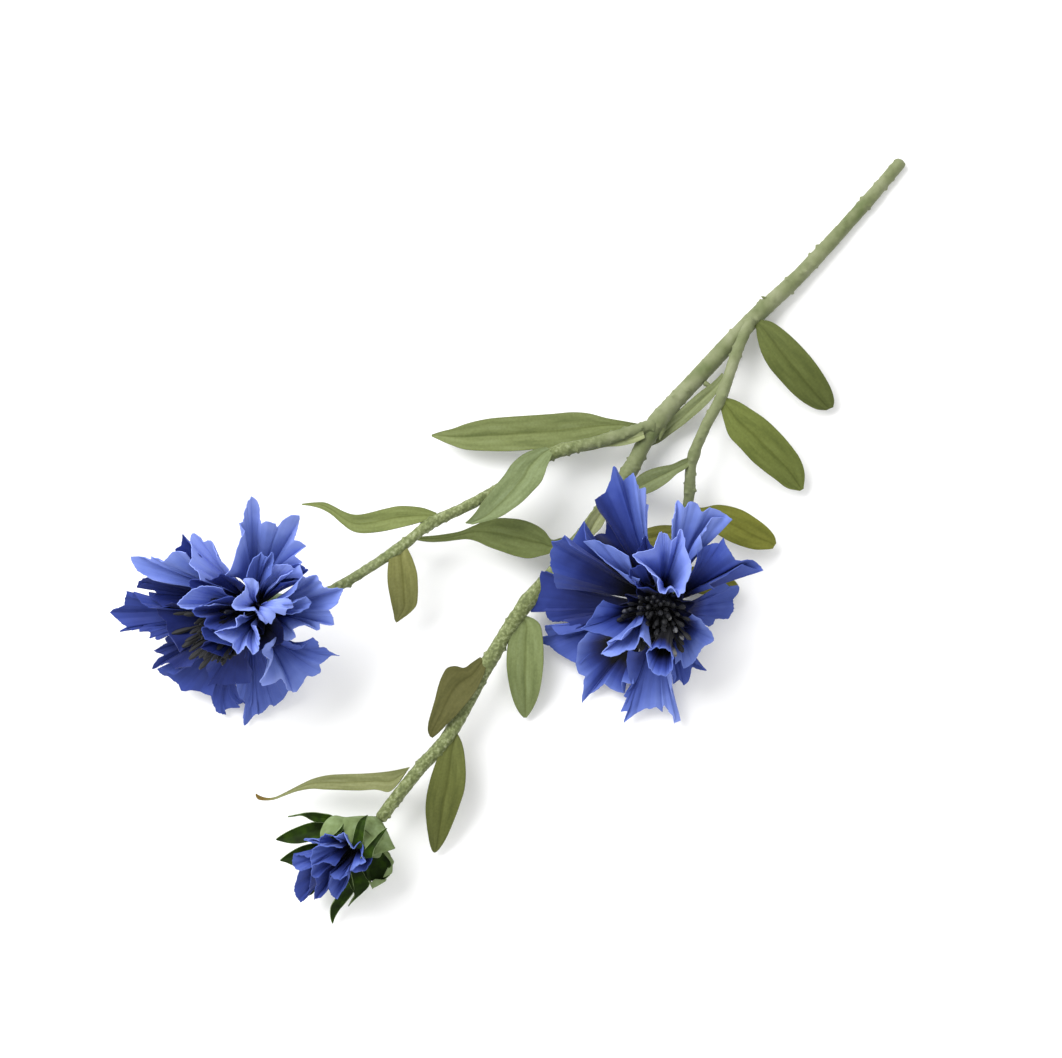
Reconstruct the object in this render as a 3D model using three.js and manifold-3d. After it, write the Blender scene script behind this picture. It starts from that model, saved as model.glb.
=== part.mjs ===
// Artificial cornflower spray, lying on a level surface: a taped wire stem with two side branches,
// eighteen cloth leaves, two open blooms and one opening bud.
// Millimetres, +Z up, +X along the main stem from its cut end to the bud.

import * as THREE from "three";
import { mergeVertices } from "three/addons/utils/BufferGeometryUtils.js";
import Module from "manifold-3d";

const wasm = await Module();
wasm.setup();

// ---------------------------------------------------------------- driving dimensions

const ORIGIN = new THREE.Vector3(-13.8, -7.5, 0); // the spray's middle on the surface
const CLOTH = 0.66; // thickness of leaves, sepals and florets
const GAP = 0.3; // clearance between pieces that touch

const STEM_SIDES = 8;
const STEM_STEP = 9; // length of one stretch of stem
const FACET = Math.cos(Math.PI / STEM_SIDES); // middle of a side over its corner

const PRESSED = 0.1; // how far the underside is pressed flat where the main stem lies on the surface

// Stems: x, y, z of the wire and the taped radius there.
const MAIN_STEM = [
  [-161.1, 17.8, 2.05 * FACET - PRESSED, 2.05],
  [-140.7, 17.2, 2.3 * FACET - PRESSED, 2.3],
  [-113.3, 15.4, 3.0, 2.5],
  [-93.0, 12.6, 4.5, 2.6],
  [-69.7, 10.7, 6.0, 2.65],
  [-48.9, 9.6, 7.0, 2.6],
  [-33.3, 12.3, 8.0, 2.3],
  [-16.3, 13.3, 8.5, 2.25],
  [3.0, 13.9, 9.0, 2.25],
  [19.3, 13.2, 9.5, 2.25],
  [39.2, 15.5, 10.0, 2.2],
  [64.3, 20.0, 11.0, 2.1],
  [79.2, 19.5, 12.0, 2.0],
  [98.9, 19.7, 13.0, 1.9],
];
const LEFT_BRANCH = [
  [-49.5, 9.8, 8.5, 1.8],
  [-34.3, -0.5, 11.5, 1.8],
  [-21.7, -9.6, 13.0, 1.8],
  [-5.5, -14.6, 15.0, 1.7],
  [7.4, -19.9, 17.0, 1.65],
  [18.1, -24.9, 18.5, 1.6],
  [31.2, -28.0, 19.6, 1.55],
  [51.3, -35.0, 18.8, 1.5],
  [59.6, -40.4, 17.9, 1.5],
  [64.9, -44.3, 19.9, 1.5],
];
const RIGHT_BRANCH = [
  [-93.4, 12.2, 6.0, 1.7],
  [-82.7, 14.9, 9.5, 1.7],
  [-68.7, 19.8, 12.0, 1.7],
  [-57.5, 22.0, 13.0, 1.65],
  [-46.9, 25.5, 12.5, 1.65],
  [-37.4, 32.1, 9.5, 1.6],
  [-27.0, 37.5, 6.0, 1.6],
  [-17.5, 41.6, 4.2, 1.6],
  [-12.2, 43.8, 7.2, 1.6],
];

// Leaves, each cut from cloth and pressed to a fold along the midrib: how much higher its edges lie
// than the midrib where it is widest, and pairs of points on its two edges from foot to tip, each
// pair with the height of the midrib between them.
const LEAVES = [
  {
    fold: 0.9,
    edges: [
      [-93.5, 12.2, -92.1, 12.5, 5], [-96.2, 17.8, -89.5, 17.3, 7.2],
      [-96.4, 23, -86.8, 20.9, 8.4], [-95.9, 28.9, -84.7, 25.7, 9],
      [-94.9, 34.9, -83.7, 30.8, 8.7], [-93.3, 40.7, -83, 36.3, 7.5],
      [-91.7, 44.9, -83.1, 41.1, 5.8], [-89.8, 47.8, -84.1, 45.3, 4.1], [-88, 49, -85.9, 47.9, 3],
    ],
  },
  {
    fold: 0.6,
    edges: [
      [-67.7, 19, -66.4, 19.3, 12], [-70.2, 24.5, -63, 25, 12.6], [-70.8, 28.7, -60.3, 29.3, 12.7],
      [-71.3, 34.7, -59.5, 34.7, 12.2], [-70.9, 41, -58.8, 39.7, 11],
      [-70.1, 46.1, -58.8, 44.6, 9.4], [-68.8, 50.9, -59.1, 49.2, 7.5],
      [-66.4, 54.8, -59.4, 53.5, 5.4], [-62.6, 57.7, -61.3, 57.2, 3.5],
    ],
  },
  {
    fold: 0.6,
    edges: [
      [-36.3, 34.3, -34.7, 34.8, 9.5], [-38.3, 37, -35.1, 37.6, 9.9],
      [-41.6, 39.8, -34.7, 41.1, 10.1], [-43.9, 43.5, -34.7, 45.4, 10],
      [-45.4, 47.5, -35.3, 49.7, 9.3], [-46, 52.2, -36.6, 53.9, 8.2],
      [-46.1, 56.2, -38.4, 57.7, 6.7], [-45.5, 59.6, -40.8, 60.6, 5.3],
      [-44.1, 61.6, -42.1, 61.8, 4.5],
    ],
  },
  {
    fold: 0.5,
    edges: [
      [-30, 36.3, -28.7, 36.6, 8], [-28.1, 33.1, -25.5, 36, 8.5], [-25.8, 30.2, -21.5, 34.5, 8.2],
      [-22.9, 27.9, -18.5, 32.2, 7.2], [-20, 26.3, -16.8, 29.7, 5.6], [-17, 25.5, -16.2, 27, 4],
    ],
  },
  {
    fold: 0.8,
    edges: [
      [-47.7, 24.1, -46.5, 25.9, 13], [-45.5, 22.7, -43.9, 25.2, 13.6],
      [-42.5, 21.2, -41.2, 24.2, 13.9], [-39.9, 19, -38, 23.7, 13.9],
      [-37.6, 17.3, -35, 22.9, 13.4], [-34.9, 15.9, -32.1, 21.7, 12.5],
      [-32, 15.2, -29.5, 20, 11.3], [-28.7, 15.1, -28, 17.6, 9.9], [-26.6, 14.9, -26.5, 15.7, 8.5],
    ],
  },
  {
    fold: 0.4,
    edges: [
      [-74.1, 15.6, -73.9, 17.3, 11], [-70.2, 15.2, -69.7, 18, 10], [-65.4, 14, -66, 18.2, 8.9],
      [-60.8, 13.1, -61.8, 17.8, 7.7], [-56.3, 12.4, -57.8, 17.1, 6.6],
      [-52.3, 11.7, -54, 16.3, 5.4], [-48.6, 11.6, -50, 15.2, 4.3], [-45.4, 11.5, -46, 14.2, 3.2],
      [-43.2, 11.7, -43.3, 12.8, 2.4],
    ],
  },
  {
    fold: 0.8,
    edges: [
      [-46.2, 5.8, -45, 7.2, 7.5], [-43.5, 0.9, -41.9, 3, 7.8], [-38.9, -8.4, -33.1, -2.6, 8.2],
      [-35.9, -12.7, -28.4, -5.9, 8.2], [-31.6, -17.2, -23.8, -10.1, 8.2],
      [-22.4, -27.2, -14.4, -20.3, 7.5], [-17.9, -31.8, -10, -25.9, 7],
      [-13.2, -35.6, -6.3, -31.2, 6.4], [-3.4, -42.2, -3, -41.7, 5],
    ],
  },
  {
    fold: 0.3,
    edges: [
      [-45, 7.9, -43.7, 9.7, 10.6], [-42, 5.6, -40.4, 8, 10.5], [-38.1, 2.8, -37, 5.3, 10.3],
      [-34.7, 0, -34.1, 2.1, 10.2], [-31.6, -3, -30.7, -0.6, 10], [-28.6, -6.1, -27.3, -3.8, 9.9],
      [-25.8, -8.6, -24.9, -7.1, 9.7], [-23.5, -11, -23.2, -10.4, 9.6],
    ],
  },
  {
    fold: 0.9,
    edges: [
      [-22.4, -12.2, -22.6, -9.6, 14], [-19.5, -14.5, -20.7, -8.9, 15.2],
      [-15.9, -16.3, -17.8, -8.1, 16.7], [-11.8, -17, -16, -7.4, 17.8],
      [-8.1, -16.7, -13.1, -6.6, 18.8], [-0.3, -16.6, -5.1, -7.2, 20.5],
      [3.2, -16.6, -1, -8.2, 20.9], [6.5, -16.3, 3.1, -9.6, 21], [11.1, -16.7, 10.2, -14.8, 20.5],
    ],
  },
  {
    fold: 0.5,
    edges: [
      [14.2, -25.4, 15.9, -25.1, 18.5], [15.8, -30, 20.7, -28.3, 18.3],
      [19.4, -35.3, 26.2, -32.5, 17.9], [22.9, -38.4, 29.1, -34.9, 17.5],
      [29.1, -43.2, 33.9, -40.1, 16.8], [30.8, -45.4, 34.9, -42.8, 16.4],
      [32.4, -51.2, 34.9, -50.4, 15.6], [33.2, -54.1, 35.5, -53.8, 15.1],
      [37.9, -59.4, 38.3, -59.2, 14],
    ],
  },
  {
    fold: 0.9,
    edges: [
      [-5, 12.1, -3.4, 13.5, 9], [-4.1, 9.3, -1.7, 10.5, 9.2], [-1.5, 7.1, 1.9, 9.4, 9.3],
      [-1.9, 0.4, 7.4, 5.2, 9.4], [-0.7, -3.4, 9.4, 1.6, 9.3], [4.2, -10.4, 12.5, -6.9, 9],
      [14, -16.4, 16.9, -15.6, 8.1], [21.2, -22.9, 23, -22.2, 6.9], [24.9, -27, 25.5, -26.6, 6],
    ],
  },
  {
    fold: 0.7,
    edges: [
      [27.7, -26.6, 29.3, -27.6, 20], [28.8, -24.1, 31.7, -29.2, 20.2],
      [30.1, -21.6, 35, -27.5, 20.1], [32.2, -18.6, 38.1, -25.4, 19.4],
      [34.7, -16.3, 40.7, -23.2, 18], [37.4, -14.2, 43, -20.7, 16],
      [40.1, -12.7, 45.1, -18.3, 13.6], [43.2, -12.8, 46.5, -16.7, 11.5],
      [48, -14.1, 48.4, -14.4, 8],
    ],
  },
  {
    fold: 0.9,
    edges: [
      [21.9, 14.9, 23.8, 13.6, 9.5], [20.9, 18.1, 25.7, 14.6, 9.8], [21.2, 20.7, 27.9, 15.4, 10],
      [23.4, 23.4, 31.4, 16.4, 10], [26.5, 26.3, 34.8, 18.5, 9.7], [29.9, 29, 37.9, 21, 9],
      [33.6, 31.4, 40.8, 24, 7.8], [40.6, 34.7, 45.4, 30.3, 4.6], [46.2, 35.5, 46.8, 34.8, 2.2],
    ],
  },
  {
    fold: 0.4,
    edges: [
      [40.4, 12.5, 40.7, 15.1, 11], [46, 10.7, 45.8, 17.3, 13.6], [47.2, 8.2, 49.6, 18, 14.4],
      [49.2, 6.7, 53.2, 18.1, 14.9], [52.1, 7, 56.4, 18, 15], [55.5, 8.2, 59.2, 17.9, 14.7],
      [65.8, 12.7, 66.5, 17.2, 11.7], [68, 14.2, 68, 16.9, 10.7], [69, 15.8, 68.8, 16.7, 10],
    ],
  },
  {
    fold: 0.9,
    edges: [
      [62.7, 21, 64.4, 20.8, 11], [65.7, 26.5, 71.7, 21.5, 11.9], [68.3, 29.2, 75.7, 22.8, 12.1],
      [71.8, 32.2, 79.9, 24.5, 11.7], [75.5, 34.5, 83.9, 26.5, 10.9],
      [79.5, 36.1, 87.3, 28.8, 9.8], [83.6, 37.5, 90.4, 31.6, 8.2], [91.7, 39.7, 95.2, 36.6, 4.4],
      [96.2, 39.8, 96.6, 39.5, 2.4],
    ],
  },
  {
    fold: 0.5,
    edges: [
      [80.1, 16.9, 83.2, 17, 12], [84.7, 13.2, 90.1, 16.7, 11.6], [87.6, 10.4, 92.1, 13.2, 11.3],
      [98, -1.1, 102, 1, 9.9], [101.8, -4, 104.6, -2.5, 9.4], [106.1, -6.1, 108.2, -5.6, 8.8],
      [113.7, -9.6, 114.5, -9.3, 7.9], [115.6, -11.6, 116.5, -11.3, 7.5],
      [116.6, -14.8, 117.2, -14.5, 7],
    ],
  },
  {
    fold: 0.6,
    edges: [
      [-20.7, 12.9, -20, 15, 9.5], [-17.7, 11.7, -17.7, 15.6, 12.1],
      [-14.7, 11.4, -15.5, 16.2, 13.7], [-12, 11.9, -13.3, 16.4, 14.4],
      [-9.9, 13.2, -11.1, 16.2, 14.2], [-8.4, 14.8, -9, 16, 13.5],
    ],
  },
  {
    fold: 0.5,
    edges: [
      [-16.9, 41.1, -15.4, 42.3, 5], [-20.4, 43.4, -15.4, 46.6, 5.5],
      [-22.8, 47, -16.4, 51.3, 5.6], [-24.8, 50.9, -18.4, 55.3, 5.3],
      [-26.6, 55.1, -21, 58.4, 4.7], [-27.1, 58.7, -23.4, 60.1, 4], [-26.7, 60.7, -25.8, 61, 3.5],
    ],
  },
];

// Blooms: the button that the florets spring from and the way the bloom faces. Each floret is cloth
// that runs from the button by a throat to its rim: how far the throat is raised along the bloom's
// axis (or where it is), how deep its middle hangs, how narrow it is there (a share of the rim), and
// the tips and notches of its rim, measured one after another.
const RIGHT_BLOOM = {
  name: "right",
  button: [-6.0, 45.7, 17.3],
  faces: [0.52, 0.16, 0.84],
  seed: 11,
  stamens: { count: 14, length: 11.5, lean: 40, way: [0.52, 0.16, 0.84] },
  florets: [
    {
      rise: 0.3, depth: 5,
      rim: [
        [-9, 16, 21], [-13, 18.5, 22], [-16, 16.5, 24], [-19, 9.5, 32], [-23.5, 10.5, 27],
        [-30.5, 7.5, 30], [-29, 12.5, 19], [-32.5, 13.5, 33], [-30, 18, 28], [-27.5, 21.5, 25],
        [-28, 23, 25], [-23.5, 24.5, 23], [-19.5, 28.5, 21],
      ],
    },
    {
      rise: 0.3, depth: 0, pinch: 0.45,
      rim: [
        [-4, 12.5, 40], [-5, 9, 38], [-1, 7, 34], [2, 9, 32], [6, 13.5, 30], [9, 17.5, 24],
        [5.5, 15.5, 20], [0, 12.5, 20], [-12, 11, 26], [-8, 15, 30],
      ],
    },
    {
      rise: 0.2, depth: 3,
      rim: [
        [16, 29.5, 10], [15, 27.5, 10], [18, 21, 9], [16, 19, 10], [20, 16, 9], [12.5, 14, 12],
        [8, 10.5, 14], [8, 17, 17],
      ],
    },
    {
      rise: 0.5, depth: 3,
      rim: [
        [8.5, 42.5, 28], [11.5, 36, 30], [14, 30.5, 31], [10, 31, 29], [6, 30.5, 27], [3, 30.5, 26],
      ],
    },
    {
      rise: 0.1, depth: 3,
      rim: [
        [23, 38, 6], [24, 35, 5], [24.5, 27, 5], [26.5, 21.5, 4], [22.5, 25, 6], [20.5, 22, 9],
        [17.5, 29, 11],
      ],
    },
    {
      rise: 0.2, depth: 7,
      rim: [
        [17, 54.5, 8], [19, 51.5, 6], [21.5, 54, 4], [23, 47.5, 5], [32, 46, 2], [25, 41.5, 5],
        [24, 37, 6], [18.5, 33.5, 12], [13.5, 33.5, 16],
      ],
    },
    {
      rise: 0, depth: 4,
      rim: [
        [1.5, 57.5, 14], [6.5, 61, 10], [14, 68, 5], [17, 73, 4], [16.5, 66, 6], [21.5, 62, 5],
        [28.5, 60, 3], [25, 58.5, 5], [26.5, 57, 4], [22, 56, 5], [18.5, 54.5, 7], [13, 48, 14],
        [9.5, 46, 18],
      ],
    },
    {
      rise: 0.9, depth: 1, throat: [2, 45, 32],
      rim: [
        [5, 50.5, 38], [4.5, 45.5, 39], [9, 46.5, 36], [15, 42.5, 36], [12, 39, 36], [9, 42, 37],
        [1.5, 43.5, 37],
      ],
    },
    {
      rise: 1, depth: 0, throat: [1.5, 52, 34], pinch: 0.5,
      rim: [
        [7.5, 50.5, 38], [10.5, 56.5, 41], [6, 59, 40], [2.5, 55.5, 39], [2.5, 53.5, 40],
        [6, 50.5, 38],
      ],
    },
    {
      rise: 0.3, depth: 2,
      rim: [
        [4.5, 60, 19], [1, 64, 19], [-5.5, 63.5, 22], [-8.5, 64.5, 22], [-10.5, 59.5, 24],
        [-10.5, 54, 28],
      ],
    },
    {
      rise: 0.1, depth: 2,
      rim: [
        [7.5, 61.5, 13], [9.5, 64, 10], [6.5, 67, 11], [2, 65, 14], [0, 69, 14], [-0.5, 62, 16],
      ],
    },
    {
      rise: 0, depth: 3,
      rim: [
        [-9.5, 57.5, 10], [-11, 61.5, 7], [-14, 61.5, 9], [-17, 64.5, 8], [-22, 62, 9],
        [-26.5, 61, 10], [-24.5, 55.5, 12],
      ],
    },
    {
      rise: 0.3, depth: 6,
      rim: [
        [-21, 54.5, 24], [-32, 56.5, 24], [-34.5, 63, 22], [-35, 58.5, 23], [-32.5, 56, 25],
        [-32.5, 51.5, 26], [-34.5, 47, 26], [-31, 45.5, 24], [-27, 43, 26],
      ],
    },
    {
      rise: 0.4, depth: 4,
      rim: [
        [-28, 44, 25], [-31, 41, 26], [-37, 40.5, 26], [-40.5, 43.5, 24], [-36.5, 37, 27],
        [-37, 33, 29], [-34.5, 29, 30], [-26.5, 33, 30],
      ],
    },
    {
      rise: 1, depth: 0, throat: [-17, 41, 31], pinch: 0.35,
      rim: [
        [-13, 28.5, 40], [-19, 32.5, 38], [-23.5, 30.5, 39], [-23.5, 35, 37], [-28, 35, 38],
        [-22.5, 43, 40], [-14, 47.5, 43], [-12.5, 43.5, 44], [-9.5, 41.5, 43], [-12.5, 38.5, 44],
        [-12.5, 31, 40],
      ],
    },
    {
      rise: 0.6, depth: 2,
      rim: [
        [-9.5, 42, 28], [-6.5, 36, 31], [-7.5, 32, 31], [-9.5, 31, 31], [-13.5, 33, 32],
      ],
    },
    {
      rise: 0.5, depth: 1,
      rim: [
        [-9, 35, 30], [-7, 30.5, 30], [-6.5, 26, 30], [-7, 18, 30], [-7, 14.5, 31], [-10.5, 20.5, 31],
        [-12, 28, 33],
      ],
    },
    {
      rise: 0.6, depth: 2,
      rim: [
        [-13.5, 30, 28], [-20, 28, 28], [-19, 31, 28], [-19, 33, 28], [-21, 34, 28],
      ],
    },
  ],
};
const LEFT_BLOOM = {
  name: "left",
  button: [72.7, -50.2, 26.6],
  faces: [0.66, -0.5, 0.56],
  seed: 29,
  stamens: { count: 14, length: 20, lean: 30, way: [0.74, -0.26, 0.62] },
  florets: [
    {
      rise: 0.1, depth: 5,
      rim: [
        [69, -62.5, 42], [65.5, -62, 43], [52, -68, 46], [44.5, -70.5, 49], [49, -63.5, 45],
        [47, -62, 47], [47, -59, 44], [41.5, -58, 47], [40, -56, 46], [47, -53, 42], [46, -49, 41],
        [54.5, -43.5, 39],
      ],
    },
    {
      rise: 0.5, depth: 2,
      rim: [
        [64, -56.5, 46], [61, -58, 46], [55.5, -58, 46], [54.5, -54, 45], [59, -51.5, 45],
      ],
    },
    {
      rise: 0.3, depth: 1,
      rim: [
        [58, -53.5, 44], [57, -53, 44], [53.5, -49.5, 44], [53.5, -47.5, 43], [60, -49, 43],
      ],
    },
    {
      rise: 0.2, depth: 1,
      rim: [
        [53.5, -49, 41], [51.5, -47, 40], [51.5, -44, 38], [54.5, -43.5, 39], [59.5, -48, 41],
      ],
    },
    {
      rise: 0.1, depth: 2,
      rim: [
        [72.5, -77, 38], [69.5, -78.5, 39], [66.5, -80, 41], [67, -78, 41], [68, -72, 44],
      ],
    },
    {
      rise: 0.4, depth: -2,
      rim: [
        [73.5, -67, 47], [71.5, -72.5, 46], [66.5, -76.5, 44], [64, -77.5, 44], [62.5, -72, 45],
        [65, -67.5, 45], [66, -62.5, 43],
      ],
    },
    {
      rise: 0.2, depth: -1.5,
      rim: [
        [82, -77, 40], [83, -80, 40], [81.5, -88, 40], [77.5, -83, 41], [76.5, -79.5, 42],
        [71, -77.5, 43], [70, -75.5, 44],
      ],
    },
    {
      rise: 0.1, depth: 3,
      rim: [
        [88, -71.5, 30], [88.5, -76.5, 28], [87.5, -78, 27], [86, -76, 28], [84.5, -79, 29],
        [86.5, -82, 30], [80.5, -77.5, 35],
      ],
    },
    {
      rise: 0.1, depth: 2,
      rim: [
        [95, -61.5, 25], [94, -65, 24], [97.5, -67, 23], [97, -70.5, 23], [100, -75, 21],
        [100, -84, 20], [95.5, -81.5, 23], [91.5, -83.5, 25], [91, -77.5, 28], [88.5, -72.5, 30],
      ],
    },
    {
      rise: 0.2, depth: 3,
      rim: [
        [95.5, -59, 30], [92.5, -66.5, 29], [90.5, -68.5, 29], [91, -71, 28], [89.5, -73, 28],
        [85, -70, 32],
      ],
    },
    {
      rise: 0, depth: 2,
      rim: [
        [97.5, -54.5, 20], [101.5, -58, 15], [101, -60, 15], [106.5, -63.5, 11], [100.5, -63, 14],
        [101.5, -66.5, 12], [94.5, -65, 17], [95.5, -61.5, 20],
      ],
    },
    {
      rise: 0, depth: 3,
      rim: [
        [101.5, -44, 7], [103, -48, 6], [106.5, -52.5, 6], [105.5, -56.5, 7], [106, -61, 9],
        [103.5, -57, 11], [100.5, -56, 14],
      ],
    },
    {
      rise: 0, depth: 2, throat: [99, -46.5, 8], pinch: 0.1,
      rim: [
        [95.5, -34, 5], [99, -37.5, 4], [102, -38, 3], [104, -37.5, 2], [105, -40, 3], [101, -45, 6],
      ],
    },
    {
      rise: 0, depth: 3,
      rim: [
        [84.5, -27, 10], [89, -26.5, 6], [92.5, -28.5, 5], [100, -30.5, 2], [101, -32.5, 3],
        [95.5, -33.5, 6], [96.5, -37.5, 9], [93.5, -40.5, 14],
      ],
    },
    {
      rise: 0.2, depth: 0, throat: [77, -34, 30], pinch: 0.2,
      rim: [
        [73, -39, 36], [71.5, -31, 31], [66.5, -30.5, 30], [68, -27.5, 28], [66.5, -21, 25],
        [72, -24, 26], [83, -24.5, 22], [84.5, -27, 23], [82.5, -30.5, 30], [86.5, -34.5, 36],
        [79, -36, 42], [78.5, -39.5, 43], [75, -39.5, 40],
      ],
    },
    {
      rise: 0.1, depth: 5,
      rim: [
        [63, -44.5, 44], [57.5, -43, 46], [51, -41, 41], [52.5, -37.5, 40], [49, -32.5, 37],
        [57, -32, 37], [59.5, -28, 35], [65.5, -35, 36], [69.5, -34.5, 35], [73, -39.5, 36],
      ],
    },
    {
      rise: 0.5, depth: 0,
      rim: [
        [63.5, -43, 46], [58, -39.5, 43], [58, -37.5, 42], [60.5, -37, 42], [64.5, -39.5, 42],
      ],
    },
    {
      rise: 1, depth: -3, throat: [69.5, -51, 48], pinch: 0.2,
      rim: [
        [64.5, -51.5, 48], [63.5, -56, 50], [70, -55, 52], [73.5, -53, 52], [70, -48.5, 49],
        [71.5, -43.5, 46], [66.5, -44, 45], [63, -40.5, 44], [63.5, -45, 43],
      ],
    },
    {
      rise: 0.5, depth: 2,
      rim: [
        [76, -59, 50], [79, -61.5, 52], [83, -66, 52], [77, -66.5, 50], [72.5, -63, 48],
        [71.5, -60, 46],
      ],
    },
    {
      rise: 0.4, depth: 2,
      rim: [
        [77, -66, 45], [77, -68.5, 45], [75.5, -69.5, 45], [71.5, -64.5, 45], [68, -63.5, 45],
        [67, -56, 42],
      ],
    },
    {
      rise: 0.4, depth: 8,
      rim: [
        [77.5, -49.5, 49], [81.5, -53.5, 51], [82.5, -57.5, 52], [80.5, -58, 52], [82, -61, 53],
        [80, -62.5, 53], [71, -56.5, 48],
      ],
    },
    {
      rise: 0.6, depth: 2,
      rim: [
        [73.5, -45.5, 50], [76, -42, 51], [80.5, -41, 51], [83, -44, 52], [81.5, -47.5, 53],
        [82.5, -53.5, 54], [77.5, -49.5, 52], [72.5, -50.5, 48],
      ],
    },
    {
      rise: 0.5, depth: 1,
      rim: [
        [80, -40.5, 38], [73.5, -39.5, 38], [72, -40.5, 38], [72, -45, 38],
      ],
    },
    {
      rise: 0.5, depth: 1,
      rim: [
        [83, -47.5, 44], [86, -54.5, 48], [84.5, -57.5, 48], [83, -57, 48], [83, -55, 47],
      ],
    },
    {
      rise: 0.4, depth: 2,
      rim: [
        [85.5, -46.5, 41], [87.5, -48, 41], [89, -53, 43], [88, -54.5, 43], [83, -50.5, 42],
      ],
    },
    {
      rise: 0.1, depth: 2,
      rim: [
        [93, -38.5, 14], [96, -43, 13], [99.5, -47, 13], [95.5, -50.5, 17], [92.5, -51.5, 20],
      ],
    },
  ],
};
const FLORET_ROWS = [0,0.5,1];
const PINCH = 0.3;
const CLAW_WIDTH = 1.7; // a floret where it leaves the button
const BUTTON_RADIUS = 5.2;
const BUTTON_HEIGHT = 3.4;
const COLLAR = [[-1.2, 4.2], [3.0, 10.1], [3.8, 9.6], [0.2, 4.2]]; // height over the button, radius
const CALYX_RADIUS = 4.4;
const CALYX_LENGTH = 11;
const STAMEN_SPREAD = 3.4; // radius of the bundle at its foot

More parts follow.
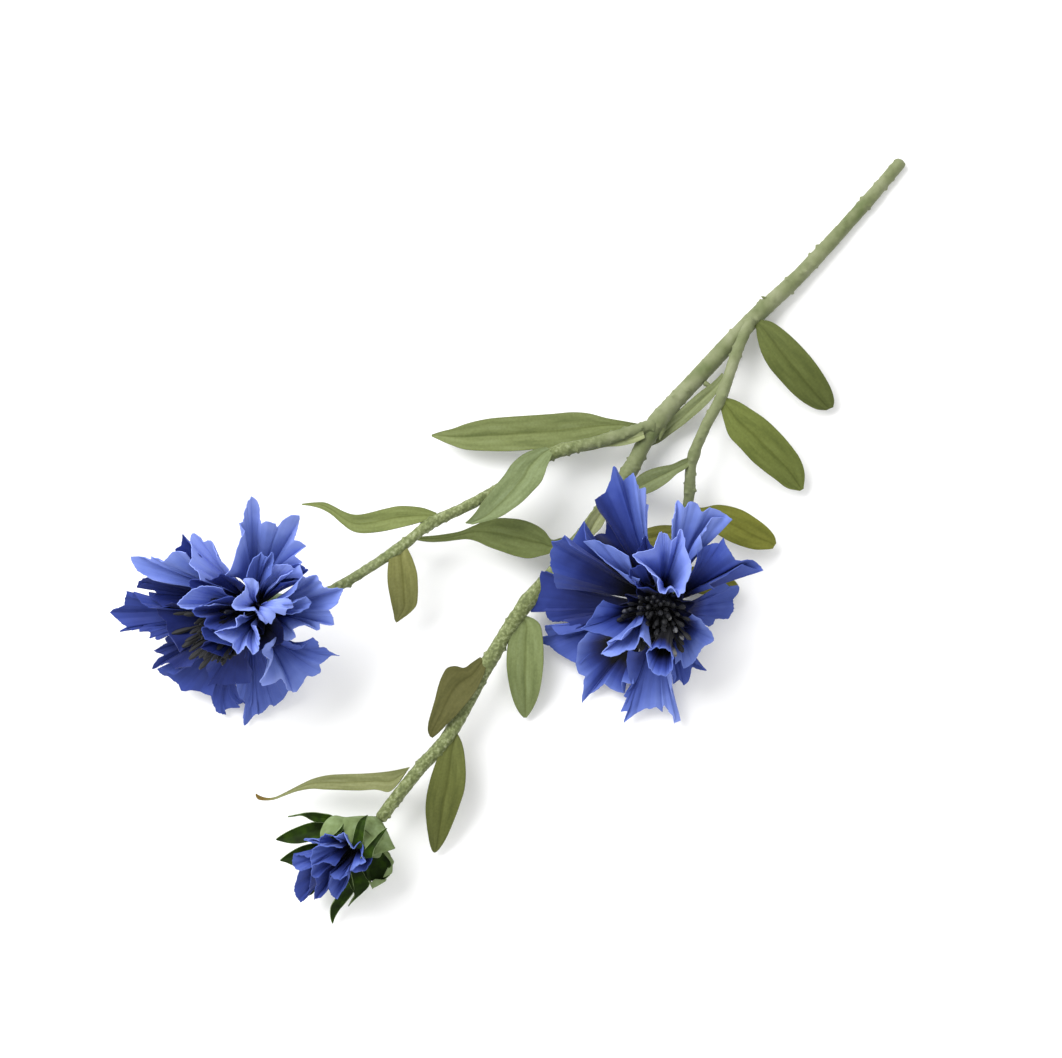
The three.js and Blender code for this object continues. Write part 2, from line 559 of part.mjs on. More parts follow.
// Bud: where its calyx joins the stem and the way it faces. Each sepal runs out from the calyx by
// pairs of points on its two edges, its middle standing up or down by a share of its width. The
// petals are made as the florets are.
const BUD = {
  joint: [99.3, 19.9, 13.0],
  faces: [0.87, -0.06, 0.48],
  sepals: [
    { belly: 0.12, edges: [
      [98.7, 17.9, 15, 99.4, 19.3, 16], [101.1, 14.5, 18, 101.9, 16.1, 20],
      [103.9, 11.1, 20, 105, 13.3, 23], [105.5, 8.2, 21, 106.9, 12.2, 24.5],
      [108.1, 7.2, 22.5, 109.6, 11.7, 25], [111.3, 7.9, 24, 111.8, 10, 25],
      [112.7, 8.9, 25, 112.6, 9.5, 25],
    ] },
    { belly: 0.12, edges: [
      [99.6, 16.5, 17, 99.6, 19.5, 16.5], [102.9, 12.2, 20, 100.6, 15.8, 20],
      [104.7, 11, 22, 101.9, 15, 22], [106.3, 12.7, 24, 104.1, 15.4, 24],
      [107.6, 14.6, 25.5, 106.2, 16.4, 25.5], [108.5, 16.4, 26, 107.6, 17, 26],
      [109, 17.2, 26, 108.8, 17.4, 26],
    ] },
    { belly: 0.12, edges: [
      [98.3, 18.4, 15, 98.6, 21, 14.5], [99.8, 16.6, 18, 99, 22.2, 17],
      [101.7, 17.3, 20.5, 99.6, 22.4, 20], [103.4, 18.4, 22.5, 101.8, 22.4, 22],
      [105.1, 19.5, 24, 103.9, 22.1, 24], [106.1, 20.4, 25, 105.7, 22, 25],
      [106.6, 21.4, 25.3, 106.5, 21.9, 25.3],
    ] },
    { belly: 0.12, edges: [
      [98.8, 20.3, 14.5, 99.5, 22.4, 13.5], [99.2, 22.8, 17, 99.7, 23.9, 16],
      [101.9, 23.5, 20, 100.4, 25.6, 18], [104.4, 23.9, 22, 101.2, 27.6, 19.5],
      [107.1, 24.8, 23.5, 101.6, 28.8, 20.5],
    ] },
    { belly: -0.12, edges: [
      [110.8, 11.8, 24.5, 108.7, 13.3, 25], [108.6, 11.7, 25.5, 107.1, 12.9, 25.5],
      [106.7, 11.8, 26, 105.9, 12.4, 26], [105.1, 11.7, 26, 105.1, 11.9, 26],
    ] },
    { belly: -0.12, edges: [
      [109.5, 18.2, 25, 107.4, 20.8, 25], [107.1, 17, 26.5, 104.8, 19.4, 26.5],
      [104.9, 15.9, 27, 102.5, 17.9, 26.8], [102.8, 15.1, 26.5, 100.9, 17, 26.3],
      [101, 14.9, 25.5, 99.5, 16.3, 25.2], [98.9, 15.7, 23.8, 98.7, 16, 23.8],
    ] },
    { belly: -0.12, edges: [
      [110.2, 22.3, 24, 107.7, 24.8, 24.5], [107.4, 21.7, 25.5, 105.5, 24, 26],
      [105, 21.7, 26.3, 103, 23.6, 26.3], [102.3, 21.9, 25.8, 100.7, 23.4, 25.3],
      [100, 22.2, 24, 99, 23.2, 23.3], [98.3, 22.7, 22.3, 98.4, 23.1, 22],
    ] },
    { belly: -0.12, edges: [
      [106.6, 11.1, 18, 108.9, 12.2, 18], [106, 7.6, 19, 109.3, 7.1, 19.5],
      [107.2, 5.1, 19.5, 110.4, 5.4, 20], [108.6, 2.7, 20, 111, 3.5, 20.2],
      [110.4, 0.7, 20, 111.3, 1.4, 20.2], [111.6, -0.3, 20, 112.1, -0.1, 20],
      [113.1, -1.5, 19.5, 113.4, -1.2, 19.5], [114.6, -2.7, 19, 114.8, -2.5, 19],
    ] },
    { belly: -0.12, edges: [
      [108, 10.6, 16, 112.2, 13.2, 16], [109.7, 6.5, 16.5, 114.1, 9.3, 17],
      [112.2, 3.8, 16.5, 116.8, 7.1, 17], [115.5, 1.7, 16, 119.2, 5.1, 16.5],
      [118.5, 0.2, 15.5, 121, 3, 15.5], [120.9, -0.7, 15, 122.1, 1, 15],
      [122.8, -1.2, 14.5, 123, -0.9, 14.5],
    ] },
    { belly: -0.12, edges: [
      [114.2, 13, 13, 118, 15.2, 13], [116.3, 9.2, 13, 122.5, 12.6, 13],
      [119.2, 6.7, 12.5, 124.8, 10.1, 12.5], [122.2, 5.2, 12, 126.2, 7.6, 12],
      [125, 4.3, 11.5, 126.8, 5.7, 11.5], [127.4, 3.8, 11, 127.6, 4.1, 11],
    ] },
    { belly: -0.12, edges: [
      [118.5, 18.1, 9, 119.5, 15, 9], [123.9, 18.5, 8, 124.5, 13.8, 8],
      [128.1, 18.2, 7.5, 128.2, 15.2, 7.5], [129.9, 18.1, 7, 130.4, 16.4, 7],
      [131, 17.4, 7, 131.1, 17.1, 7],
    ] },
    { belly: -0.12, edges: [
      [115, 22.2, 11, 118.9, 19.6, 9], [118.8, 25.5, 9.5, 123.1, 23.4, 8],
      [120.9, 27.5, 8, 126.6, 24.5, 7], [125.3, 27.8, 6.5, 129.2, 25, 6],
      [128.8, 27.8, 5, 131.1, 26.1, 5], [131.4, 28.2, 4, 132.7, 27.6, 4],
      [133.3, 28.9, 3, 133.5, 28.7, 3],
    ] },
    { belly: -0.12, edges: [
      [112.8, 25.9, 11, 116.6, 24.2, 10], [114, 28.4, 10, 118.7, 26.6, 9],
      [116.8, 30.1, 8.5, 120.4, 27.9, 8], [119.6, 30, 7, 122, 28.5, 7],
      [122.8, 29.5, 6, 123.9, 28.8, 6], [125.9, 29.2, 5, 126, 29.2, 5],
    ] },
    { belly: -0.12, edges: [
      [105.8, 22.8, 14, 113.4, 24.9, 12], [104.5, 28, 13, 114.6, 26.6, 11],
      [105.9, 30.3, 12.5, 115.3, 28.7, 10.5], [107.5, 31.8, 12, 114.4, 30.3, 10],
      [109.1, 32.8, 11.5, 113, 31.6, 10.5], [110.3, 32.9, 11, 111.9, 32.6, 11],
    ] },
    { belly: 0.12, edges: [
      [105.3, 30, 13, 106.3, 30.5, 13.8], [106.8, 31.5, 13, 108.7, 31, 14],
      [108.6, 32.8, 12.5, 110.7, 31.5, 13.5], [109.4, 32.7, 12.5, 111.5, 31.7, 13.3],
    ] },
    { belly: 0.12, edges: [
      [115.2, 28.7, 11.5, 115.8, 30.3, 10.5], [113.6, 30.1, 12, 115.8, 31.5, 10.5],
      [112.5, 31.7, 12, 114.2, 32.2, 11], [111.5, 33, 11.5, 112, 33, 11.5],
    ] },
  ],
  petals: [
    { rise: 0.2, depth: 1, rim: [
      [122.2, 12.9, 20], [128.2, 16.1, 14], [133.4, 16.9, 11.5], [132.2, 13.7, 13],
      [130.7, 12.4, 14], [125.5, 10.5, 18],
    ] },
    { rise: 0.3, depth: 1, rim: [
      [119.4, 17.9, 22], [121.7, 19.3, 20], [126, 20.8, 16.5], [129.5, 19.3, 16], [125.2, 17, 19],
      [123.6, 15.3, 21],
    ] },
    { rise: 0.3, depth: 1, rim: [
      [115.4, 21.7, 23], [120.2, 24.2, 19], [125, 25.1, 16], [125.3, 22.6, 17], [124.2, 20.9, 18],
      [120.2, 18.9, 22],
    ] },
    { rise: 0.2, depth: 1, rim: [
      [122.7, 12.2, 20], [125.1, 10.9, 19], [125.7, 9.3, 18], [125.3, 7.8, 18], [122.4, 5.9, 19],
      [120.4, 10, 21],
    ] },
    { rise: 0.4, depth: 1, rim: [
      [115.4, 10.1, 24], [113.6, 9.3, 25], [112, 9.1, 26], [110.7, 9.6, 26.5], [109.6, 13.1, 27.5],
      [109.7, 14.7, 27.5],
    ] },
    { rise: 0.5, depth: 2, rim: [
      [109.7, 12, 28], [107, 13.7, 27.5], [108.9, 19.1, 27.5], [106.4, 19.4, 26.5],
      [109.5, 24.2, 26.5], [114.7, 22.3, 28],
    ] },
    { rise: 0.2, depth: 1, rim: [
      [106.7, 24.1, 24], [108.5, 25.4, 23.5], [110.5, 25.9, 23], [112.9, 25.5, 22.5],
      [114.5, 24.1, 22.5], [115.3, 22.4, 23],
    ] },
    { rise: 0.5, depth: 2, rim: [
      [110.9, 16, 28], [111.4, 14.2, 29], [114.6, 10.5, 28], [116.7, 9.4, 27], [118.5, 10.1, 26.5],
      [121.6, 12.8, 25],
    ] },
    { rise: 0.5, depth: 2, rim: [
      [116.4, 18.1, 26], [117.2, 14.5, 27], [120.8, 12.7, 26], [122.7, 13.3, 25],
      [123.6, 14.8, 24], [122.9, 16.2, 24],
    ] },
    { rise: 0.4, depth: 0, rim: [
      [113.9, 11.3, 25], [114.6, 9.5, 24.5], [116.8, 5.7, 23.5], [116.2, 5.5, 23.5],
      [114.8, 7.3, 24], [113.5, 9.4, 25],
    ] },
    { rise: 0.5, depth: 1, rim: [
      [120, 18.4, 23], [119.9, 20.4, 24], [119, 22, 24], [117.3, 22.1, 24.5], [115.2, 21.7, 25],
    ] },
  ],
};
const BUD_CALYX = [[0, 2.1], [2, 4.6], [5, 6.6], [8, 7.6]]; // distance from the joint, radius
const BUD_SEPAL_FEET = [0.5, 7]; // distances from the joint between which sepals spring from the axis
const BUD_BUTTON = [2.9, 3.0]; // radius and height

// ---------------------------------------------------------------- solids

const vector = (list) => new THREE.Vector3(...list);
const radians = THREE.MathUtils.degToRad;
const mix = THREE.MathUtils.lerp;

// The same run of draws between 0 and 1 for the same seed.
function draws(seed) {
  let state = seed * 7919 + 1;
  return () => {
    state = (state * 16807) % 2147483647;
    return state / 2147483647;
  };
}

function solidOf(geometry) {
  geometry.deleteAttribute("normal");
  geometry.deleteAttribute("uv");
  const merged = mergeVertices(geometry, 1e-4);
  return new wasm.Manifold(
    new wasm.Mesh({
      numProp: 3,
      vertProperties: merged.attributes.position.array,
      triVerts: new Uint32Array(merged.index.array),
    }),
  );
}

function geometryOf(solid) {
  const mesh = solid.getMesh();
  const geometry = new THREE.BufferGeometry();
  geometry.setAttribute("position", new THREE.BufferAttribute(mesh.vertProperties, 3));
  geometry.setIndex(new THREE.BufferAttribute(mesh.triVerts, 1));
  return geometry;
}

// The largest body of a solid; the scraps that a cut leaves loose are dropped.
function largestBody(solid) {
  return solid.decompose().reduce((a, b) => (b.volume() > a.volume() ? b : a));
}

function closedSolid(points, triangles) {
  const geometry = new THREE.BufferGeometry().setFromPoints(points);
  geometry.setIndex(triangles);
  return solidOf(geometry);
}

// A solid lofted through rings of equal count, closed by a fan at each end.
function loft(rings) {
  const sides = rings[0].length;
  const points = rings.flat();
  const triangles = [];
  const at = (ring, side) => ring * sides + (side % sides);
  for (let ring = 0; ring + 1 < rings.length; ring++)
    for (let side = 0; side < sides; side++) {
      triangles.push(at(ring, side), at(ring, side + 1), at(ring + 1, side));
      triangles.push(at(ring + 1, side), at(ring, side + 1), at(ring + 1, side + 1));
    }
  const last = rings.length - 1;
  for (let side = 1; side + 1 < sides; side++) {
    triangles.push(at(0, 0), at(0, side + 1), at(0, side));
    triangles.push(at(last, 0), at(last, side), at(last, side + 1));
  }
  return closedSolid(points, triangles);
}

// A taped wire: a tapered tube through the route's points, with a side flat underneath.
function tube(route, extra = 0) {
  const curve = new THREE.CatmullRomCurve3(route.map(([x, y, z]) => new THREE.Vector3(x, y, z)));
  curve.curveType = "catmullrom";
  const spans = route.length - 1;
  const perSpan = Math.max(1, Math.round(curve.getLength() / STEM_STEP / spans));
  const rings = [];
  for (let step = 0; step <= spans * perSpan; step++) {
    const t = step / (spans * perSpan);
    const span = Math.min(spans - 1, Math.floor(t * spans));
    const radius = mix(route[span][3], route[span + 1][3], t * spans - span) + extra;
    const centre = curve.getPoint(t);
    const along = curve.getTangent(t);
    const side = new THREE.Vector3(0, 0, 1).cross(along).normalize();
    const up = along.clone().cross(side);
    rings.push(
      Array.from({ length: STEM_SIDES }, (_, k) => {
        const angle = ((k + 0.5) * 2 * Math.PI) / STEM_SIDES;
        return centre
          .clone()
          .addScaledVector(side, radius * Math.cos(angle))
          .addScaledVector(up, radius * Math.sin(angle));
      }),
    );
  }
  return loft(rings);
}

// A sheet of cloth of even thickness. surface(s, v) gives a point at s along and v across, and
// grid holds rows of [s, v]. Both faces are split the same way.
function sheet(surface, grid, cloth = CLOTH) {
  const STEP = 0.01;
  const front = [];
  const back = [];
  for (const row of grid)
    for (const [s, v] of row) {
      const along = surface(s + STEP, v).sub(surface(s - STEP, v));
      const across = surface(s, v + STEP).sub(surface(s, v - STEP));
      const normal = along.cross(across).normalize();
      const point = surface(s, v);
      front.push(point.clone().addScaledVector(normal, cloth / 2));
      back.push(point.clone().addScaledVector(normal, -cloth / 2));
    }
  const rows = grid.length;
  const columns = grid[0].length;
  const far = front.length;
  const triangles = [];
  const wall = (a, b) => triangles.push(a, b + far, b, a, a + far, b + far);
  for (let i = 0; i + 1 < rows; i++)
    for (let j = 0; j + 1 < columns; j++) {
      const a = i * columns + j;
      const [b, c, d] = [a + 1, a + columns, a + columns + 1];
      triangles.push(a, c, b, b, c, d);
      triangles.push(a + far, b + far, c + far, b + far, d + far, c + far);
    }
  for (let j = 0; j + 1 < columns; j++) {
    wall(j + 1, j);
    wall((rows - 1) * columns + j, (rows - 1) * columns + j + 1);
  }
  for (let i = 0; i + 1 < rows; i++) {
    wall(i * columns, (i + 1) * columns);
    wall((i + 2) * columns - 1, (i + 1) * columns - 1);
  }
  return closedSolid([...front, ...back], triangles);
}

// ---------------------------------------------------------------- leaves

function leaf(spec) {
  const spans = spec.edges.length - 1;
  const widths = spec.edges.map(([ax, ay, bx, by]) => Math.hypot(bx - ax, by - ay));
  const widest = Math.max(...widths);
  const surface = (s, v) => {
    const place = s * spans;
    const span = THREE.MathUtils.clamp(Math.floor(place), 0, spans - 1);
    const between = (list, next) => list.map((x, i) => mix(x, next[i], place - span));
    const [ax, ay, bx, by, z] = between(spec.edges[span], spec.edges[span + 1]);
    const width = mix(widths[span], widths[span + 1], place - span);
    const across = (v + 1) / 2;
    return new THREE.Vector3(
      mix(ax, bx, across),
      mix(ay, by, across),
      z + (spec.fold * Math.abs(v) * width) / widest,
    );
  };
  return sheet(surface, spec.edges.map((_, k) => [-1, 0, 1].map((v) => [k / spans, v])));
}

// ---------------------------------------------------------------- blooms

// Directions round a bloom: its axis, the one nearest to +X across it, and the third.
function bloomFrame(faces) {
  const axis = vector(faces).normalize();
  const first = new THREE.Vector3(1, 0, 0).addScaledVector(axis, -axis.x).normalize();
  return { axis, first, second: axis.clone().cross(first) };
}

// A floret of the given thickness, from a flat foot on the button's ring by its throat to its rim.
function floret(frame, middle, ring, spec, cloth) {
  const rim = spec.rim.map(vector);
  const spans = rim.length - 1;
  const centre = rim.reduce((sum, point) => sum.add(point), new THREE.Vector3()).divideScalar(spans + 1);
  const outward = centre.clone().sub(middle).projectOnPlane(frame.axis).normalize();
  const foot = middle.clone().addScaledVector(outward, ring);
  const run = centre.clone().sub(foot);
  const way = run.clone().normalize().addScaledVector(frame.axis, spec.rise).normalize();
  const throat = spec.throat ? vector(spec.throat) : foot.clone().addScaledVector(way, run.length() / 2);
  const tubeWay = throat.clone().sub(foot).normalize();
  const side = rim[spans].clone().sub(rim[0]).projectOnPlane(tubeWay).normalize();
  const surface = (s, v) => {
    const place = ((v + 1) / 2) * spans;
    const span = THREE.MathUtils.clamp(Math.floor(place), 0, spans - 1);
    const edge = rim[span].clone().lerp(rim[span + 1], place - span);
    const aside = edge.clone().sub(throat).projectOnPlane(tubeWay);
    const bend = throat.clone().addScaledVector(aside, spec.pinch ?? PINCH);
    bend.z -= spec.depth * (1 - v * v);
    return foot
      .clone()
      .addScaledVector(side, (v * CLAW_WIDTH) / 2)
      .multiplyScalar((1 - s) ** 2)
      .addScaledVector(bend, 2 * s * (1 - s))
      .addScaledVector(edge, s * s);
  };
  const columns = rim.map((_, k) => -1 + (2 * k) / spans);
  return sheet(surface, FLORET_ROWS.map((s) => columns.map((v) => [s, v])), cloth);
}

// A pointed sepal, from a root on the bud's axis by the pairs of points on its edges.
function sepal(joint, axis, spec, cloth) {
  const edges = spec.edges.map((pair) => [vector(pair.slice(0, 3)), vector(pair.slice(3))]);
  const start = edges[0][0].clone().add(edges[0][1]).divideScalar(2).sub(joint).dot(axis);
  const root = joint.clone().addScaledVector(axis, THREE.MathUtils.clamp(start, ...BUD_SEPAL_FEET));
  const half = edges[0][0].clone().sub(edges[0][1]).multiplyScalar(0.25);
  edges.unshift([root.clone().add(half), root.clone().sub(half)]);
  const spans = edges.length - 1;
  const surface = (s, v) => {
    const place = s * spans;
    const span = THREE.MathUtils.clamp(Math.floor(place), 0, spans - 1);
    const [left, right] = [0, 1].map((k) => edges[span][k].clone().lerp(edges[span + 1][k], place - span));
    const lift = spec.belly * left.distanceTo(right) * (1 - Math.abs(v));
    const point = left.lerp(right, (v + 1) / 2);
    point.z += lift;
    return point;
  };
  return sheet(surface, edges.map((_, k) => [-1, 0, 1].map((v) => [k / spans, v])), cloth);
}

// A solid of revolution about the bloom's axis; its profile holds [height, radius] pairs.
function turned(frame, middle, profile, sides) {
  return loft(
    profile.map(([height, radius]) =>
      Array.from({ length: sides }, (_, k) => {
        const angle = (2 * Math.PI * k) / sides;
        return middle
          .clone()
          .addScaledVector(frame.axis, height)
          .addScaledVector(frame.first, radius * Math.cos(angle))
          .addScaledVector(frame.second, radius * Math.sin(angle));
      }),
    ),
  );
}

function buttonProfile(radius, height) {
  return [-1, -0.75, -0.2, 0.5, 1].map((level) => [
    (height / 2) * level,
    radius * Math.sqrt(Math.max(0.06, 1 - 0.94 * level * level)),
  ]);
}

// Stamens: a bundle of three-sided threads on a small head, fanned out round the way it points.
function stamens(frame, middle, seed, spec) {
  const draw = draws(seed);
  const foot = BUTTON_HEIGHT / 2 + GAP;
  const head = [
    [foot, STAMEN_SPREAD],
    [foot + 1.6, STAMEN_SPREAD],
    [foot + 4, 0.5 * STAMEN_SPREAD],
  ];
  const way = vector(spec.way).normalize();
  let solid = turned(frame, middle, head, 8);
  for (let k = 0; k < spec.count; k++) {
    const turn = k * 2.4;
    const share = Math.sqrt((k + 0.5) / spec.count);
    const lean = radians(spec.lean * share + 6 * draw());
    const outward = frame.first.clone().multiplyScalar(Math.cos(turn));
    outward.addScaledVector(frame.second, Math.sin(turn));
    const along = way.clone().multiplyScalar(Math.cos(lean)).addScaledVector(outward, Math.sin(lean));
    along.normalize();
    const side = along.clone().cross(frame.second).normalize();
    const other = along.clone().cross(side);
    const root = middle.clone().addScaledVector(frame.axis, foot + 0.6);
    root.addScaledVector(outward, 0.85 * STAMEN_SPREAD * share);
    const length = spec.length * mix(0.7, 1, draw());
    const ringAt = (distance, radius) =>
      [0, 1, 2].map((corner) => {
        const angle = (2 * Math.PI * corner) / 3;
        return root
          .clone()
          .addScaledVector(along, distance)
          .addScaledVector(side, radius * Math.cos(angle))
          .addScaledVector(other, radius * Math.sin(angle));
      });
    solid = solid.add(loft([ringAt(0, 0.65), ringAt(length * 0.8, 0.8), ringAt(length, 0.3)]));
  }
  return solid;
}

// The egg-shaped calyx that carries the button.
function calyx(frame, middle) {
  const top = -BUTTON_HEIGHT / 2 - GAP;
  const profile = [
    [top - CALYX_LENGTH, 0.45 * CALYX_RADIUS],
    [top - 0.85 * CALYX_LENGTH, 0.75 * CALYX_RADIUS],
    [top - 0.5 * CALYX_LENGTH, CALYX_RADIUS],
    [top - 0.15 * CALYX_LENGTH, 0.86 * CALYX_RADIUS],
    [top, 0.7 * CALYX_RADIUS],
  ];
  return turned(frame, middle, profile, 10);
}

// ---------------------------------------------------------------- assembly

const COLOURS = {
  stem: 0xa4aa85,
  leaf: 0x6f7a41,
  floret: 0x4a5cab,
  stamen: 0x14151c,
  calyx: 0x4c6334,
  sepal: 0x35511f,
};
const spray = new THREE.Group();
spray.position.copy(ORIGIN).negate();
const floor = solidOf(new THREE.BoxGeometry(600, 600, 40).translate(0, 0, -20));

function add(name, solid, colour) {
  const material = new THREE.MeshStandardMaterial({ color: colour, roughness: 0.85, metalness: 0 });
  const mesh = new THREE.Mesh(geometryOf(largestBody(solid.subtract(floor))), material);
  mesh.name = name;
  spray.add(mesh);
}

const mainStem = tube(MAIN_STEM);
const leftBranch = largestBody(tube(LEFT_BRANCH).subtract(tube(MAIN_STEM, GAP)));
const rightBranch = largestBody(tube(RIGHT_BRANCH).subtract(tube(MAIN_STEM, GAP)));
add("stem_main", mainStem, COLOURS.stem);
add("stem_left", leftBranch, COLOURS.stem);
add("stem_right", rightBranch, COLOURS.stem);

const wide = [MAIN_STEM, LEFT_BRANCH, RIGHT_BRANCH].map((route) => tube(route, GAP));
const stemSpace = wide[0].add(wide[1]).add(wide[2]);

LEAVES.forEach((spec, index) => {
  const name = "leaf_" + String(index + 1).padStart(2, "0");
  add(name, leaf(spec).subtract(stemSpace), COLOURS.leaf);
});

for (const bloom of [LEFT_BLOOM, RIGHT_BLOOM]) {
  const frame = bloomFrame(bloom.faces);
  const middle = vector(bloom.button);
  const ring = BUTTON_RADIUS - 1;
  let head = turned(frame, middle, buttonProfile(BUTTON_RADIUS, BUTTON_HEIGHT), 12);
  head = head.add(turned(frame, middle, COLLAR, 16));
  let floretSpace = head;
  for (const spec of bloom.florets) {
    head = head.add(floret(frame, middle, ring, spec, CLOTH));
    floretSpace = floretSpace.add(floret(frame, middle, ring, spec, CLOTH + 2 * GAP));
  }
  const tuft = stamens(frame, middle, bloom.seed, bloom.stamens);
  add(bloom.name + "_florets", head.subtract(stemSpace), COLOURS.floret);
  add(bloom.name + "_stamens", tuft.subtract(floretSpace).subtract(head), COLOURS.stamen);
  add(bloom.name + "_calyx", calyx(frame, middle).subtract(stemSpace), COLOURS.calyx);
}

const budFrame = bloomFrame(BUD.faces);
const onBudAxis = (distance) => vector(BUD.joint).addScaledVector(budFrame.axis, distance);
let green = turned(budFrame, vector(BUD.joint), BUD_CALYX, 13);
let greenSpace = green;
for (const spec of BUD.sepals) {
  green = green.add(sepal(vector(BUD.joint), budFrame.axis, spec, CLOTH));
  greenSpace = greenSpace.add(sepal(vector(BUD.joint), budFrame.axis, spec, CLOTH + 3 * GAP));
}

const [budRadius, budHeight] = BUD_BUTTON;
const budMiddle = onBudAxis(BUD_CALYX.at(-1)[0] + GAP + budHeight / 2);
let blue = turned(budFrame, budMiddle, buttonProfile(budRadius, budHeight), 8);
for (const spec of BUD.petals) blue = blue.add(floret(budFrame, budMiddle, budRadius - 1, spec, CLOTH));
add("bud_sepals", green.subtract(stemSpace), COLOURS.sepal);
add("bud_petals", blue.subtract(greenSpace).subtract(green), COLOURS.floret);

export default spray;
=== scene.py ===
import math

import bpy
import numpy as np
from mathutils import Matrix, Vector, noise


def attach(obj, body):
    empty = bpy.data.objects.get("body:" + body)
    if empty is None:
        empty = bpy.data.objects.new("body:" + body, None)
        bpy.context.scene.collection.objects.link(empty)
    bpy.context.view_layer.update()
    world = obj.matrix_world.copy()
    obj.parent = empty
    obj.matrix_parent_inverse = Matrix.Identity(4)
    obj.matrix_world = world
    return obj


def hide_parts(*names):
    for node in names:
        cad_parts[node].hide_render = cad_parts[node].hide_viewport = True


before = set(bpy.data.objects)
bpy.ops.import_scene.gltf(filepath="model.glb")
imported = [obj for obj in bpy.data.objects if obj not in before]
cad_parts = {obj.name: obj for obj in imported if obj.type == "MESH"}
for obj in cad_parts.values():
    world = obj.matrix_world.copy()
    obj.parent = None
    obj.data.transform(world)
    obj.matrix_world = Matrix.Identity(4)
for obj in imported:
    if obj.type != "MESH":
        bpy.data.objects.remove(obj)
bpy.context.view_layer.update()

MM = 0.001

# ---------------------------------------------------------------- camera
# The spray is seen from straight above, with its cut end at the top right. The camera stands
# 1.1 m over the table and is turned about the vertical.

CAMERA_SPOT = (0.0138, 0.0075, 1.1)  # metres
TURN_RIGHT = Vector((-0.6277, 0.7784, 0))  # the way across the table that the camera sees as right
FRAME_WIDTH = 329.22 * MM  # what the camera sees at table height
SENSOR_WIDTH = 36

camera_data = bpy.data.cameras.new("camera")
camera_data.sensor_width = SENSOR_WIDTH
camera_data.lens = SENSOR_WIDTH * CAMERA_SPOT[2] / FRAME_WIDTH
camera = bpy.data.objects.new("camera", camera_data)
bpy.context.scene.collection.objects.link(camera)
camera.matrix_world = Matrix.Translation(CAMERA_SPOT) @ Matrix(
    (TURN_RIGHT, Vector((0, 0, 1)).cross(TURN_RIGHT), (0, 0, 1))
).transposed().to_4x4()
bpy.context.scene.camera = camera
bpy.context.scene.view_settings.view_transform = "Standard"

# ---------------------------------------------------------------- table and light
# A matt white table top, lit by a large soft lamp from one side and by a white room.

TABLE_SIZE = 6.0  # metres
LAMP_SIZE = 0.9  # metres
LAMP_SPOT = Vector((-0.10, -0.95, 0.95))
LAMP_WATTS = 22
ROOM_LIGHT = 0.95


def linear(colour):
    """A hex sRGB colour as the linear RGBA that a shader takes."""
    parts = [int(colour[k : k + 2], 16) / 255 for k in (1, 3, 5)]
    return [c / 12.92 if c <= 0.04045 else ((c + 0.055) / 1.055) ** 2.4 for c in parts] + [1]


def node(material, kind, inputs=None, stops=None, **settings):
    """One node of a material. inputs holds a value, or another node's output, for each socket."""
    made = material.node_tree.nodes.new("ShaderNode" + kind)
    for key, value in settings.items():
        setattr(made, key, value)
    for key, value in (inputs or {}).items():
        if isinstance(value, bpy.types.NodeSocket):
            material.node_tree.links.new(value, made.inputs[key])
        else:
            made.inputs[key].default_value = value
    if stops:
        band = made.color_ramp.elements
        while len(band) < len(stops):
            band.new(0.5)
        for element, (place, colour) in zip(band, stops):
            element.position = place
            element.color = linear(colour)
    return made


def new_material(name):
    material = bpy.data.materials.new(name)
    material.use_nodes = True
    material.node_tree.nodes.clear()
    return material


bpy.ops.object.select_all(action="DESELECT")
bpy.ops.mesh.primitive_plane_add(size=TABLE_SIZE)
table = bpy.context.active_object
table.name = "table_top"

# A rolled matt paint, which shows soft shadows and hardly any reflections.
painted = new_material("matt white paint")
paint = node(painted, "BsdfPrincipled", {"Base Color": linear("#f9f9f9"), "Roughness": 0.9})
node(painted, "OutputMaterial", {"Surface": paint.outputs["BSDF"]})
table.data.materials.append(painted)

lamp_data = bpy.data.lights.new("soft lamp", "AREA")
lamp_data.size = LAMP_SIZE
lamp_data.energy = LAMP_WATTS
lamp = bpy.data.objects.new("soft lamp", lamp_data)
bpy.context.scene.collection.objects.link(lamp)
lamp.location = LAMP_SPOT
lamp.rotation_euler = LAMP_SPOT.to_track_quat("Z", "Y").to_euler()

room = bpy.data.worlds.new("white room")
bpy.context.scene.world = room
room.use_nodes = True
room.node_tree.nodes["Background"].inputs["Color"].default_value = (1, 1, 1, 1)
room.node_tree.nodes["Background"].inputs["Strength"].default_value = ROOM_LIGHT

# ---------------------------------------------------------------- stems
# Three steel wires, each wound in one spiral of crepe paper tape, which also binds the side
# branches and the leaves to the main stem. Loose tape ends stand off here and there.

MIDDLE = np.array((-13.8, -7.5, 0.0))  # where the frame's origin lies among the points below, mm
ROUND = 28  # faces round a stem
STEM_ROW = 0.45  # mm between rings
TAPE_PITCH = 6.5  # mm along the stem for one turn of the tape
TAPE_STEP = 0.10  # mm, and the tape's overlap stands up by one and a half times this
BURRS = 0.8  # crumbs of tape on a mm of stem
BURR_REACH, BURR_ROUND = 0.45, 0.04  # how far one spreads: mm along the stem, and a share round it
BURR_LEAST, BURR_MORE = 0.25, 0.65  # mm that the least one stands up, and the most that is added
ROUNDED_END = 1.6  # mm of stem over which its ends close
LOOSE_END_TIP = 0.12  # mm radius of a loose end of tape at its tip
BLOTCHES, FIBRES = 140.0, 950.0  # to a metre: stains of the tape 7 mm apart, fibres 1 mm apart

